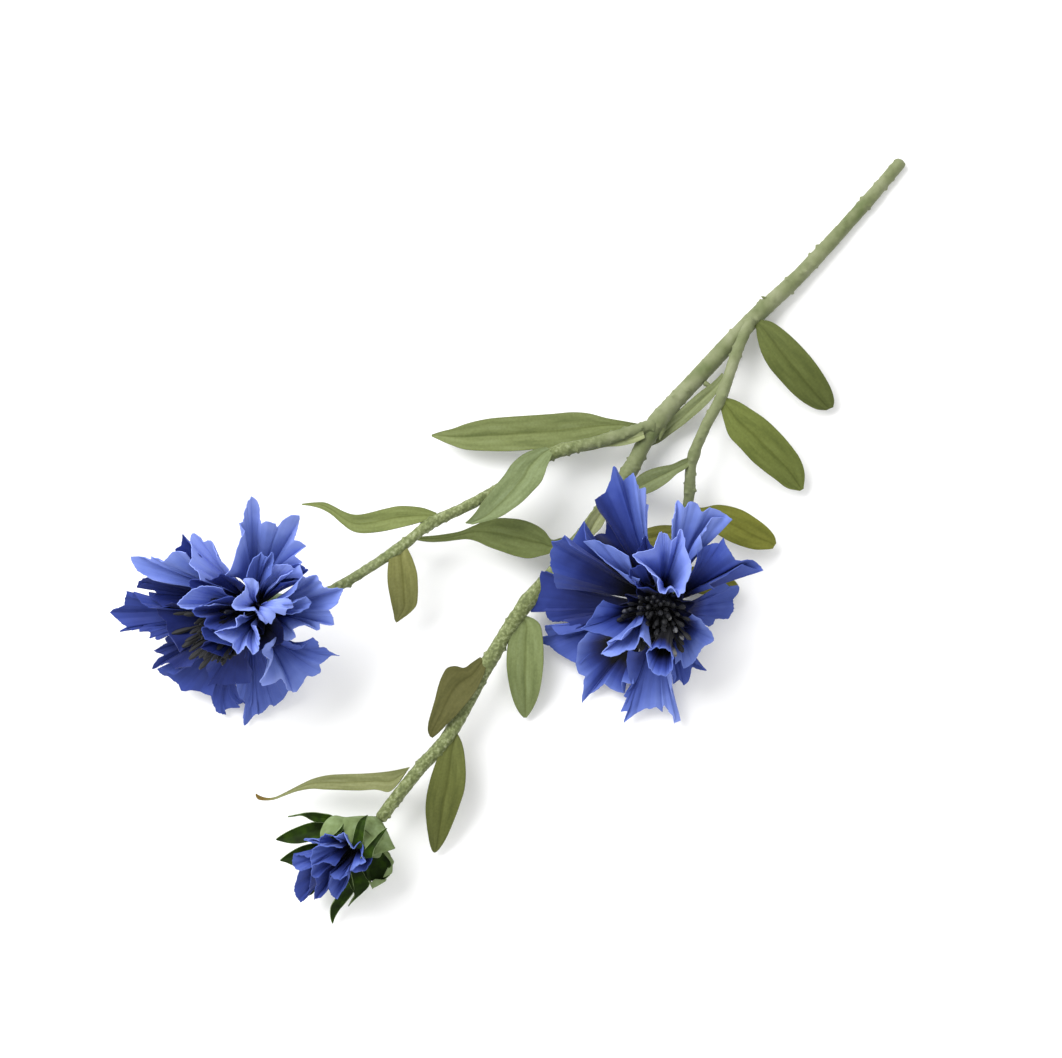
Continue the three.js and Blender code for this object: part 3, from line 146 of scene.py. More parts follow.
MAIN_STEM = [
    (-161.1, 17.8, 1.79, 1.85), (-140.7, 17.2, 2.02, 2.05), (-113.3, 15.4, 3.0, 2.3),
    (-93.0, 12.6, 4.5, 2.6), (-69.7, 10.7, 6.0, 2.65), (-48.9, 9.6, 7.0, 2.6),
    (-33.3, 12.3, 8.0, 2.3), (-16.3, 13.3, 8.5, 2.25), (3.0, 13.9, 9.0, 2.25),
    (19.3, 13.2, 9.5, 2.25), (39.2, 15.5, 10.0, 2.2), (64.3, 20.0, 11.0, 2.1),
    (79.2, 19.5, 12.0, 2.0), (98.9, 19.7, 13.0, 1.9),
]
LEFT_BRANCH = [
    (-49.5, 9.8, 8.5, 1.8), (-34.3, -0.5, 11.5, 1.8), (-21.7, -9.6, 13.0, 1.8),
    (-5.5, -14.6, 15.0, 1.7), (7.4, -19.9, 17.0, 1.65), (18.1, -24.9, 18.5, 1.6),
    (31.2, -28.0, 19.6, 1.55), (51.3, -35.0, 18.8, 1.5), (59.6, -40.4, 17.9, 1.5),
    (64.9, -44.3, 19.9, 1.5),
]
RIGHT_BRANCH = [
    (-93.4, 12.2, 6.0, 1.7), (-82.7, 14.9, 9.5, 1.7), (-68.7, 19.8, 12.0, 1.7),
    (-57.5, 22.0, 13.0, 1.65), (-46.9, 25.5, 12.5, 1.65), (-37.4, 32.1, 9.5, 1.6),
    (-27.0, 37.5, 6.0, 1.6), (-17.5, 41.6, 4.2, 1.6), (-12.2, 43.8, 7.2, 1.6),
]


def unit(rows):
    rows = np.asarray(rows, float)
    return rows / np.linalg.norm(rows, axis=-1, keepdims=True)


def draws(seed):
    """The same run of draws between 0 and 1 for the same seed."""
    state = seed * 7919 + 1
    while True:
        state = state * 16807 % 2147483647
        yield state / 2147483647


def flat_grid(name, across, along):
    """A plain grid of faces, its UV map running 0 to 1 across and 0 to 1 along."""
    bpy.ops.object.select_all(action="DESELECT")
    bpy.ops.mesh.primitive_grid_add(x_subdivisions=across, y_subdivisions=along, size=1)
    piece = bpy.context.active_object
    piece.name = piece.data.name = name
    return piece


def place_points(piece, points):
    """Moves a grid's points to points[row, column], in the same mm as MIDDLE."""
    metres = (np.asarray(points, float).reshape(-1, 3) - MIDDLE) * MM
    piece.data.vertices.foreach_set("co", metres.ravel())
    piece.data.update()


def scale_uv(piece, across, along):
    layer = piece.data.uv_layers.active.data
    uv = np.zeros(len(layer) * 2)
    layer.foreach_get("uv", uv)
    layer.foreach_set("uv", (uv.reshape(-1, 2) * (across, along)).ravel())


def mark_points(piece, name, values):
    """One number for each point of a mesh, which its material reads by name."""
    layer = piece.data.attributes.new(name, "FLOAT", "POINT")
    layer.data.foreach_set("value", np.ravel(values))


def seal(piece):
    """Merges the seam of a grid that was rolled into a tube, closes its ends, turns faces out."""
    bpy.ops.object.mode_set(mode="EDIT")
    bpy.ops.mesh.select_all(action="SELECT")
    bpy.ops.mesh.remove_doubles(threshold=1e-6)
    bpy.ops.mesh.select_all(action="DESELECT")
    bpy.ops.mesh.select_non_manifold()
    bpy.ops.mesh.fill_holes(sides=0)
    bpy.ops.mesh.select_all(action="SELECT")
    bpy.ops.mesh.normals_make_consistent(inside=False)
    bpy.ops.object.mode_set(mode="OBJECT")


def join(name, pieces):
    bpy.ops.object.select_all(action="DESELECT")
    for piece in pieces:
        piece.select_set(True)
    bpy.context.view_layer.objects.active = pieces[0]
    if len(pieces) > 1:
        bpy.ops.object.join()
    pieces[0].name = pieces[0].data.name = name
    return pieces[0]


def curve(a, b, c, d, f, bend):
    """Points from b to c at the shares f, whose slopes follow c - a and d - b by bend."""
    return (
        (2 * f**3 - 3 * f**2 + 1) * b + (f**3 - 2 * f**2 + f) * ((c - a) * bend)
        + (3 * f**2 - 2 * f**3) * c + (f**3 - f**2) * ((d - b) * bend)
    )


def wire_points(route, step):
    """Centres, directions and radii every step mm along a smooth wire, and the distances."""
    rows = np.array(route, float)
    padded = np.vstack([2 * rows[0] - rows[1], rows, 2 * rows[-1] - rows[-2]])
    fine = np.linspace(0, len(rows) - 1, 60 * len(rows))

    def at(t):
        k = np.minimum(t.astype(int), len(rows) - 2)
        return curve(*(padded[k + n] for n in range(4)), (t - k)[:, None], 0.5)

    trial = at(fine)[:, :3]
    walked = np.concatenate([[0], np.cumsum(np.linalg.norm(np.diff(trial, axis=0), axis=1))])
    distance = np.linspace(0, walked[-1], max(2, round(walked[-1] / step)) + 1)
    rows = at(np.interp(distance, walked, fine))
    return rows[:, :3], unit(np.gradient(rows[:, :3], axis=0)), rows[:, 3], distance


def taped_wire(name, route, rough, lumps):
    """A wire wound in tape. rough(share of the length) is how furry it is, lumps holds joints."""
    centre, along, radius, distance = wire_points(route, STEM_ROW)
    side = unit(np.cross((0, 0, 1), along))
    up = np.cross(along, side)
    turn = np.linspace(0, 2 * math.pi, ROUND + 1)
    far, round_ = np.meshgrid(distance, turn, indexing="ij")
    wound = (far / TAPE_PITCH + round_ / (2 * math.pi)) % 1
    skin = radius[:, None] + TAPE_STEP * (0.5 - wound) ** 3 * 6
    for lump_at, height, half in lumps:
        skin = skin + height * np.exp(-(((far - lump_at) / half) ** 2))
    draw = draws(round(distance[-1]))
    for _ in range(round(distance[-1] * BURRS)):
        burr_at, burr_turn = distance[-1] * next(draw), 2 * math.pi * next(draw)
        height = BURR_LEAST + BURR_MORE * next(draw) ** 2
        beside = (1 - np.cos(round_ - burr_turn)) / BURR_ROUND
        skin = skin + height * np.exp(-(((far - burr_at) / BURR_REACH) ** 2) - beside)
    share = far / distance[-1]
    grain = np.array(
        [
            noise.noise((d * 0.16, math.cos(t) * 0.9, math.sin(t) * 0.9)) * 0.12
            + noise.noise((d * 0.55 + 40, math.cos(t) * 2.2, math.sin(t) * 2.2))
            * (0.07 + 0.16 * rough(d / distance[-1]))
            for d in distance
            for t in turn
        ]
    ).reshape(skin.shape)
    grain[:, -1] = grain[:, 0]
    skin = skin + grain
    tip = np.minimum(far, distance[-1] - far)
    skin = skin * np.sqrt(np.clip(1 - (1 - np.clip(tip / ROUNDED_END, 0, 1)) ** 2, 0.01, 1))
    points = (
        centre[:, None]
        + side[:, None] * (skin * np.cos(round_))[..., None]
        + up[:, None] * (skin * np.sin(round_))[..., None]
    )
    points[..., 2] = np.maximum(points[..., 2], 0)
    piece = flat_grid(name, ROUND, len(distance) - 1)
    place_points(piece, points)
    scale_uv(piece, 2 * math.pi * radius.mean(), distance[-1])
    mark_points(piece, "flock", rough(share))
    seal(piece)
    return piece


def tape_end(foot, tip, radius):
    """A loose end of tape, a bent spike that stands off a stem."""
    foot, tip = (Vector(np.subtract(p, MIDDLE) * MM) for p in (foot, tip))
    bpy.ops.object.select_all(action="DESELECT")
    bpy.ops.mesh.primitive_cone_add(
        vertices=10, radius1=radius * MM, radius2=LOOSE_END_TIP * MM,
        depth=(tip - foot).length,
        location=(foot + tip) / 2, rotation=(tip - foot).to_track_quat("Z", "Y").to_euler(),
    )
    spike = bpy.context.active_object
    bpy.ops.object.mode_set(mode="EDIT")
    bpy.ops.mesh.subdivide(number_cuts=2, smoothness=0.2)
    bpy.ops.object.mode_set(mode="OBJECT")
    mark_points(spike, "flock", np.full(len(spike.data.vertices), 0.3))
    return spike


# Crepe paper, stretched as it is wound: dull and finely ridged, stained lighter and darker, and
# mossy with loose green fibre where it is flocked.
tape = new_material("crepe paper floral tape")
around = node(tape, "UVMap").outputs["UV"]
spot = node(tape, "TexCoord").outputs["Object"]
flocked = node(tape, "Attribute", attribute_name="flock").outputs["Fac"]
blotch = node(tape, "TexNoise", {"Vector": spot, "Scale": BLOTCHES, "Detail": 3.0}).outputs["Fac"]
speck = node(tape, "TexNoise", {"Vector": spot, "Scale": FIBRES, "Detail": 2.0}).outputs["Fac"]
crepe_way = node(
    tape, "Mapping", {"Vector": around, "Rotation": (0, 0, 0.5), "Scale": (0.5, 3.2, 1)}
)
crepe = node(tape, "TexNoise", {"Vector": crepe_way.outputs["Vector"], "Scale": 1.0, "Detail": 4.0})
tape_hue = node(
    tape, "ValToRGB", {"Fac": blotch},
    stops=[(0.3, "#566235"), (0.42, "#646c45"), (0.55, "#6f7651"), (0.7, "#7c8161")],
).outputs["Color"]
moss = node(
    tape, "ValToRGB", {"Fac": speck},
    stops=[(0.36, "#4c5626"), (0.5, "#636d3b"), (0.62, "#7d8658"), (0.75, "#989f7c")],
).outputs["Color"]
tape_dye = node(
    tape, "Mix", {"Factor": flocked, "A": tape_hue, "B": moss}, data_type="RGBA"
).outputs[2]
tape_bump = node(
    tape, "Bump", {"Height": crepe.outputs["Fac"], "Strength": 0.5, "Distance": 0.00035}
).outputs["Normal"]
tape_bump = node(
    tape, "Bump", {"Height": speck, "Normal": tape_bump, "Strength": 0.4, "Distance": 0.0003}
).outputs["Normal"]
tape_skin = node(
    tape, "BsdfPrincipled",
    {"Base Color": tape_dye, "Normal": tape_bump, "Roughness": 0.7, "IOR": 1.48},
)
tape_skin.inputs["Sheen Weight"].default_value = 0.06
node(tape, "OutputMaterial", {"Surface": tape_skin.outputs["BSDF"]})


def finish_piece(piece, materials, slot, *nodes, angle=50):
    """Gives a piece its materials, smooths it, and lets it stand for its nodes of the frame."""
    bpy.ops.object.select_all(action="DESELECT")
    piece.select_set(True)
    bpy.context.view_layer.objects.active = piece
    for material in materials:
        piece.data.materials.append(material)
    bpy.ops.object.shade_smooth_by_angle(angle=math.radians(angle))
    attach(piece, "root")
    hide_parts(*nodes)


# How furry each stem is along its length: bare at first, and mossier towards its bloom or bud.
def main_furry(share):
    return np.clip((share - 0.47) / 0.12, 0, 1) * 0.85


def left_furry(share):
    return np.clip((share - 0.08) / 0.2, 0, 1) * 0.75


def right_furry(share):
    return np.clip(share - 0.6, 0, 1) * 0.3


stem_main = taped_wire(
    "taped_main_stem", MAIN_STEM, main_furry,
    [(112, 0.35, 4), (129, 0.3, 3), (157, 0.3, 3), (180, 0.3, 3), (200, 0.25, 3)],
)
spikes = [
    tape_end((-68.6, 13.5, 7.0), (-68.9, 16.4, 8.4), 0.9),
    tape_end((-49.5, 12.0, 7.5), (-46.2, 13.6, 8.0), 1.1),
    tape_end((-101.0, 12.4, 4.8), (-100.4, 10.2, 6.0), 0.7),
]
finish_piece(join("taped_main_stem", [stem_main] + spikes), [tape], "stem_tape", "stem_main")
stem_left = taped_wire(
    "taped_left_branch", LEFT_BRANCH, left_furry, [(30, 0.3, 3), (75, 0.25, 3), (90, 0.25, 3)]
)
finish_piece(stem_left, [tape], "stem_tape", "stem_left")
stem_right = taped_wire(
    "taped_right_branch", RIGHT_BRANCH, right_furry, [(26, 0.2, 2), (47, 0.3, 2), (58, 0.2, 2)]
)
finish_piece(stem_right, [tape], "stem_tape", "stem_right")

# ---------------------------------------------------------------- leaves
# Eighteen leaves cut from cloth with a short flocked pile, each pressed with a midrib and bound to
# its stem by its narrow foot. The dye differs a little from leaf to leaf.

LEAF_CLOTH = 0.42  # mm
LEAF_ROW = 0.7  # mm between rows of faces
LEAF_FACES = 16  # faces across a leaf
RIB_DEPTH, RIB_WIDTH = 0.16, 1.1  # mm the midrib is pressed in, and mm that it fades over
LEAF_WAVE = 0.6  # mm that the edges wave up and down
DRIED_FROM, DRIED_OVER = 0.86, 0.08  # shares of the length where a browned tip starts and deepens
PILE = 1300.0  # tufts of pile to a metre, so 0.8 mm each
LEAVES = [  # pairs of points on the two edges from foot to tip, and the height of the midrib there
    dict(dye="#5a6332", fold=0.9, edges=[
        (-93.5, 12.2, -92.1, 12.5, 5), (-94.7, 14.7, -91.7, 15, 6.2),
        (-96.2, 17.8, -89.5, 17.3, 7.2), (-96.4, 23, -86.8, 20.9, 8.4),
        (-95.9, 28.9, -84.7, 25.7, 9), (-94.9, 34.9, -83.7, 30.8, 8.7),
        (-93.3, 40.7, -83, 36.3, 7.5), (-91.7, 44.9, -83.1, 41.1, 5.8),
        (-89.8, 47.8, -84.1, 45.3, 4.1), (-88, 49, -85.9, 47.9, 3),
    ]),
    dict(dye="#6a743a", fold=0.6, edges=[
        (-67.7, 19, -66.4, 19.3, 12), (-69.1, 21.7, -65.3, 21.9, 12.4),
        (-70.2, 24.5, -63, 25, 12.6), (-70.8, 28.7, -60.3, 29.3, 12.7),
        (-71.3, 34.7, -59.5, 34.7, 12.2), (-70.9, 41, -58.8, 39.7, 11),
        (-70.1, 46.1, -58.8, 44.6, 9.4), (-68.8, 50.9, -59.1, 49.2, 7.5),
        (-66.4, 54.8, -59.4, 53.5, 5.4), (-62.6, 57.7, -61.3, 57.2, 3.5),
    ]),
    dict(dye="#797c33", fold=0.6, edges=[
        (-36.3, 34.3, -34.7, 34.8, 9.5), (-38.3, 37, -35.1, 37.6, 9.9),
        (-41.6, 39.8, -34.7, 41.1, 10.1), (-43.9, 43.5, -34.7, 45.4, 10),
        (-45.4, 47.5, -35.3, 49.7, 9.3), (-46, 52.2, -36.6, 53.9, 8.2),
        (-46.1, 56.2, -38.4, 57.7, 6.7), (-45.5, 59.6, -40.8, 60.6, 5.3),
        (-44.1, 61.6, -42.1, 61.8, 4.5),
    ]),
    dict(dye="#868642", fold=0.5, edges=[
        (-30, 36.3, -28.7, 36.6, 8), (-28.1, 33.1, -25.5, 36, 8.5), (-25.8, 30.2, -21.5, 34.5, 8.2),
        (-22.9, 27.9, -18.5, 32.2, 7.2), (-20, 26.3, -16.8, 29.7, 5.6), (-17, 25.5, -16.2, 27, 4),
    ]),
    dict(dye="#78825c", fold=0.8, edges=[
        (-47.7, 24.1, -46.5, 25.9, 13), (-45.5, 22.7, -43.9, 25.2, 13.6),
        (-42.5, 21.2, -41.2, 24.2, 13.9), (-39.9, 19, -38, 23.7, 13.9),
        (-37.6, 17.3, -35, 22.9, 13.4), (-34.9, 15.9, -32.1, 21.7, 12.5),
        (-32, 15.2, -29.5, 20, 11.3), (-28.7, 15.1, -28, 17.6, 9.9),
        (-26.6, 14.9, -26.5, 15.7, 8.5),
    ]),
    dict(dye="#88916b", fold=0.4, edges=[
        (-74.1, 15.6, -73.9, 17.3, 11), (-70.2, 15.2, -69.7, 18, 10), (-65.4, 14, -66, 18.2, 8.9),
        (-60.8, 13.1, -61.8, 17.8, 7.7), (-56.3, 12.4, -57.8, 17.1, 6.6),
        (-52.3, 11.7, -54, 16.3, 5.4), (-48.6, 11.6, -50, 15.2, 4.3), (-45.4, 11.5, -46, 14.2, 3.2),
        (-43.2, 11.7, -43.3, 12.8, 2.4),
    ]),
    dict(dye="#778153", fold=0.8, edges=[
        (-46.2, 5.8, -45, 7.2, 7.5), (-43.5, 0.9, -41.9, 3, 7.8), (-41.1, -3.5, -37.9, -0.1, 8),
        (-38.9, -8.4, -33.1, -2.6, 8.2), (-35.9, -12.7, -28.4, -5.9, 8.2),
        (-31.6, -17.2, -23.8, -10.1, 8.2), (-27, -22.2, -19.2, -15.1, 7.9),
        (-22.4, -27.2, -14.4, -20.3, 7.5), (-17.9, -31.8, -10, -25.9, 7),
        (-13.2, -35.6, -6.3, -31.2, 6.4), (-9, -38.2, -4.5, -36.1, 5.8),
        (-6, -40.5, -3.6, -39.3, 5.4), (-3.4, -42.2, -3, -41.7, 5),
    ]),
    dict(dye="#98a078", fold=0.3, edges=[
        (-45, 7.9, -43.7, 9.7, 10.6), (-42, 5.6, -40.4, 8, 10.5), (-38.1, 2.8, -37, 5.3, 10.3),
        (-34.7, 0, -34.1, 2.1, 10.2), (-31.6, -3, -30.7, -0.6, 10), (-28.6, -6.1, -27.3, -3.8, 9.9),
        (-25.8, -8.6, -24.9, -7.1, 9.7), (-23.5, -11, -23.2, -10.4, 9.6),
    ]),
    dict(dye="#7b8862", fold=0.9, edges=[
        (-22.4, -12.2, -22.6, -9.6, 14), (-19.5, -14.5, -20.7, -8.9, 15.2),
        (-15.9, -16.3, -17.8, -8.1, 16.7), (-11.8, -17, -16, -7.4, 17.8),
        (-8.1, -16.7, -13.1, -6.6, 18.8), (-4.2, -16.7, -9.4, -6.8, 19.8),
        (-0.3, -16.6, -5.1, -7.2, 20.5), (3.2, -16.6, -1, -8.2, 20.9), (6.5, -16.3, 3.1, -9.6, 21),
        (9.2, -16.4, 6.5, -11.9, 20.8), (11.1, -16.7, 10.2, -14.8, 20.5),
    ]),
    dict(dye="#7a8450", fold=0.5, edges=[
        (14.2, -25.4, 15.9, -25.1, 18.5), (15.8, -30, 20.7, -28.3, 18.3),
        (19.4, -35.3, 26.2, -32.5, 17.9), (22.9, -38.4, 29.1, -34.9, 17.5),
        (26.4, -41, 31.8, -37.5, 17.1), (29.1, -43.2, 33.9, -40.1, 16.8),
        (30.8, -45.4, 34.9, -42.8, 16.4), (31.8, -48.2, 35, -46.8, 16),
        (32.4, -51.2, 34.9, -50.4, 15.6), (33.2, -54.1, 35.5, -53.8, 15.1),
        (35.5, -57, 36.8, -56.8, 14.5), (37.9, -59.4, 38.3, -59.2, 14),
    ]),
    dict(dye="#6f7a4a", fold=0.9, edges=[
        (-5, 12.1, -3.4, 13.5, 9), (-4.1, 9.3, -1.7, 10.5, 9.2), (-1.5, 7.1, 1.9, 9.4, 9.3),
        (-2.1, 3.8, 4.5, 7.6, 9.4), (-1.9, 0.4, 7.4, 5.2, 9.4), (-0.7, -3.4, 9.4, 1.6, 9.3),
        (1.5, -7.1, 11.1, -2.9, 9.2), (4.2, -10.4, 12.5, -6.9, 9), (7.3, -12.7, 13.4, -10.5, 8.7),
        (10.5, -14.5, 14.8, -13.4, 8.5), (14, -16.4, 16.9, -15.6, 8.1),
        (17.6, -19.4, 19.8, -18.4, 7.6), (21.2, -22.9, 23, -22.2, 6.9), (24.9, -27, 25.5, -26.6, 6),
    ]),
    dict(dye="#7d7e4c", fold=0.7, edges=[
        (27.7, -26.6, 29.3, -27.6, 20), (28.8, -24.1, 31.7, -29.2, 20.2),
        (30.1, -21.6, 35, -27.5, 20.1), (32.2, -18.6, 38.1, -25.4, 19.4),
        (34.7, -16.3, 40.7, -23.2, 18), (37.4, -14.2, 43, -20.7, 16),
        (40.1, -12.7, 45.1, -18.3, 13.6), (43.2, -12.8, 46.5, -16.7, 11.5),
        (46.3, -13.6, 47.8, -15.4, 9.3), (48, -14.1, 48.4, -14.4, 8),
    ]),
    dict(dye="#7a865a", fold=0.9, edges=[
        (21.9, 14.9, 23.8, 13.6, 9.5), (20.9, 18.1, 25.7, 14.6, 9.8), (21.2, 20.7, 27.9, 15.4, 10),
        (23.4, 23.4, 31.4, 16.4, 10), (26.5, 26.3, 34.8, 18.5, 9.7), (29.9, 29, 37.9, 21, 9),
        (33.6, 31.4, 40.8, 24, 7.8), (37.2, 33.4, 43.4, 27.2, 6.3), (40.6, 34.7, 45.4, 30.3, 4.6),
        (43.9, 35.4, 46.5, 32.9, 3.1), (46.2, 35.5, 46.8, 34.8, 2.2),
    ]),
    dict(dye="#5d5c34", fold=0.4, edges=[
        (40.4, 12.5, 40.7, 15.1, 11), (43.2, 11.6, 42.7, 16.3, 12.3), (46, 10.7, 45.8, 17.3, 13.6),
        (47.2, 8.2, 49.6, 18, 14.4), (49.2, 6.7, 53.2, 18.1, 14.9), (52.1, 7, 56.4, 18, 15),
        (55.5, 8.2, 59.2, 17.9, 14.7), (58.9, 9.8, 61.8, 17.6, 14.1), (62.5, 11.3, 64.3, 17.4, 13),
        (65.8, 12.7, 66.5, 17.2, 11.7), (68, 14.2, 68, 16.9, 10.7), (69, 15.8, 68.8, 16.7, 10),
    ]),
    dict(dye="#606634", fold=0.9, edges=[
        (62.7, 21, 64.4, 20.8, 11), (63.9, 23.9, 67.7, 21.1, 11.5), (65.7, 26.5, 71.7, 21.5, 11.9),
        (68.3, 29.2, 75.7, 22.8, 12.1), (71.8, 32.2, 79.9, 24.5, 11.7),
        (75.5, 34.5, 83.9, 26.5, 10.9), (79.5, 36.1, 87.3, 28.8, 9.8),
        (83.6, 37.5, 90.4, 31.6, 8.2), (87.9, 38.8, 92.9, 34.1, 6.4), (91.7, 39.7, 95.2, 36.6, 4.4),
        (94.9, 40, 96.6, 38.6, 2.9), (96.2, 39.8, 96.6, 39.5, 2.4),
    ]),
    dict(dye="#898d63", tip_dye="#75602c", fold=0.5, edges=[
        (80.1, 16.9, 83.2, 17, 12), (82.3, 15.2, 86.5, 17.3, 11.8), (84.7, 13.2, 90.1, 16.7, 11.6),
        (87.6, 10.4, 92.1, 13.2, 11.3), (91, 6.7, 95.4, 9.5, 10.9), (94.4, 2.8, 98.6, 5.4, 10.4),
        (98, -1.1, 102, 1, 9.9), (101.8, -4, 104.6, -2.5, 9.4), (106.1, -6.1, 108.2, -5.6, 8.8),
        (110.3, -7.9, 111.6, -7.6, 8.3), (113.7, -9.6, 114.5, -9.3, 7.9),
        (115.6, -11.6, 116.5, -11.3, 7.5), (116.4, -13.6, 117.6, -13.2, 7.2),
        (116.6, -14.8, 117.2, -14.5, 7),
    ]),
    dict(dye="#8f9470", fold=0.6, edges=[
        (-20.7, 12.9, -20, 15, 9.5), (-17.7, 11.7, -17.7, 15.6, 12.1),
        (-14.7, 11.4, -15.5, 16.2, 13.7), (-12, 11.9, -13.3, 16.4, 14.4),
        (-9.9, 13.2, -11.1, 16.2, 14.2), (-8.4, 14.8, -9, 16, 13.5),
    ]),
    dict(dye="#7c7c33", fold=0.5, edges=[
        (-16.9, 41.1, -15.4, 42.3, 5), (-20.4, 43.4, -15.4, 46.6, 5.5),
        (-22.8, 47, -16.4, 51.3, 5.6), (-24.8, 50.9, -18.4, 55.3, 5.3),
        (-26.6, 55.1, -21, 58.4, 4.7), (-27.1, 58.7, -23.4, 60.1, 4), (-26.7, 60.7, -25.8, 61, 3.5),
    ]),
]


def thicken(piece, cloth, **layers):
    """Turns a sheet into cloth of one thickness."""
    bpy.ops.object.select_all(action="DESELECT")
    piece.select_set(True)
    bpy.context.view_layer.objects.active = piece
    cloth_modifier = piece.modifiers.new("cloth", "SOLIDIFY")
    cloth_modifier.thickness = cloth * MM
    cloth_modifier.offset = 0
    for key, value in layers.items():
        setattr(cloth_modifier, key, value)
    bpy.ops.object.modifier_apply(modifier="cloth")


def colour_points(piece, name, colours):
    layer = piece.data.attributes.new(name, "FLOAT_COLOR", "POINT")
    layer.data.foreach_set("color", np.ravel(colours))


def eased(rows, step):
    """Rows of numbers with smooth ones put between them, step mm apart by their first two."""
    rows = np.array(rows, float)
    ends = np.vstack([2 * rows[0] - rows[1], rows, 2 * rows[-1] - rows[-2]])
    out = []
    for a, b, c, d in zip(ends, ends[1:], ends[2:], ends[3:]):
        count = max(2, round(np.linalg.norm(c[:2] - b[:2]) / step))
        f = np.linspace(0, 1, count, endpoint=False)[:, None]
        out.append(curve(a, b, c, d, f, 0.5))
    return np.vstack(out + [rows[-1:]])


def leaf(name, dye, fold, edges, tip_dye=None):
    """A leaf between its two edges, folded up along a midrib that is pressed in."""
    rows = eased(edges, LEAF_ROW)
    v = np.linspace(-1, 1, LEAF_FACES + 1)
    one, other, height = rows[:, 0:2], rows[:, 2:4], rows[:, 4]
    width = np.linalg.norm(other - one, axis=1)
    wide = (width / width.max())[:, None]
    middle = (one + other) / 2
    length = np.cumsum(np.linalg.norm(np.diff(middle, axis=0, prepend=middle[:1]), axis=1))
    s = (length / length[-1])[:, None]
    flat = one[:, None] + (other - one)[:, None] * ((v + 1) / 2)[:, None]
    wave = np.array(
        [[noise.noise((a * 0.09, b * 0.7, edges[0][0])) for b in v] for a in length]
    )
    rib = np.exp(-((v * width[:, None] / RIB_WIDTH) ** 2))
    lift = fold * wide * abs(v) - RIB_DEPTH * rib * wide
    lift = lift + LEAF_WAVE * wave * wide * abs(v)
    piece = flat_grid(name, LEAF_FACES, len(rows) - 1)
    place_points(piece, np.dstack([flat, height[:, None] + lift]))
    scale_uv(piece, 1, length[-1])
    dye, tip_dye = (np.array(linear(colour)) for colour in (dye, tip_dye or dye))
    dried = np.clip((s - DRIED_FROM) / DRIED_OVER, 0, 1) + 0 * v
    colour_points(piece, "dye", dye + (tip_dye - dye) * dried[..., None])
    thicken(piece, LEAF_CLOTH)
    return piece


# Woven polyester with a short flock: dull and slightly patchy, and darker along its pressed
# midrib and its cut edge.
leaf_cloth = new_material("flocked polyester leaf cloth")
leaf_uv = node(leaf_cloth, "SeparateXYZ", {"Vector": node(leaf_cloth, "UVMap").outputs["UV"]})
leaf_spot = node(leaf_cloth, "TexCoord").outputs["Object"]
leaf_dye = node(leaf_cloth, "Attribute", attribute_name="dye").outputs["Color"]
band_way = node(
    leaf_cloth, "Mapping", {"Vector": node(leaf_cloth, "UVMap").outputs["UV"], "Scale": (5, 0.07, 1)}
)
patch = node(
    leaf_cloth, "TexNoise", {"Vector": band_way.outputs["Vector"], "Scale": 1.0, "Detail": 3.0}
).outputs["Fac"]
pile = node(
    leaf_cloth, "TexNoise", {"Vector": leaf_spot, "Scale": PILE, "Detail": 2.0}
).outputs["Fac"]
patch_shade = node(
    leaf_cloth, "ValToRGB", {"Fac": patch},
    stops=[(0.3, "#cdd0bd"), (0.5, "#ececdf"), (0.68, "#ffffff")],
).outputs["Color"]
pile_shade = node(
    leaf_cloth, "ValToRGB", {"Fac": pile},
    stops=[(0.3, "#ececea"), (0.55, "#f8f8f8"), (0.7, "#ffffff")],
).outputs["Color"]
off_rib = node(leaf_cloth, "Math", {0: leaf_uv.outputs["X"], 1: 0.5}, operation="SUBTRACT")
off_rib = node(leaf_cloth, "Math", {0: off_rib.outputs[0]}, operation="ABSOLUTE").outputs[0]
rib_shade = node(
    leaf_cloth, "ValToRGB", {"Fac": off_rib},
    stops=[
        (0.0, "#d4d4bc"), (0.03, "#ececde"), (0.07, "#ffffff"), (0.46, "#ffffff"),
        (0.5, "#e4e4cc"),
    ],
).outputs["Color"]
leaf_colour = leaf_dye
for strength, shade in ((1.0, patch_shade), (1.0, pile_shade), (0.8, rib_shade)):
    leaf_colour = node(
        leaf_cloth, "Mix", {"Factor": strength, 6: leaf_colour, 7: shade},
        data_type="RGBA", blend_type="MULTIPLY",
    ).outputs[2]
leaf_bump = node(
    leaf_cloth, "Bump", {"Height": pile, "Strength": 0.25, "Distance": 0.0002}
).outputs["Normal"]
leaf_skin = node(
    leaf_cloth, "BsdfPrincipled",
    {"Base Color": leaf_colour, "Normal": leaf_bump, "Roughness": 0.7},
)
leaf_skin.inputs["Specular IOR Level"].default_value = 0.2
node(leaf_cloth, "OutputMaterial", {"Surface": leaf_skin.outputs["BSDF"]})

for number, spec in enumerate(LEAVES, 1):
    blade_name = f"leaf_{number:02d}"
    finish_piece(leaf("cloth_" + blade_name, **spec), [leaf_cloth], "leaf_cloth", blade_name)
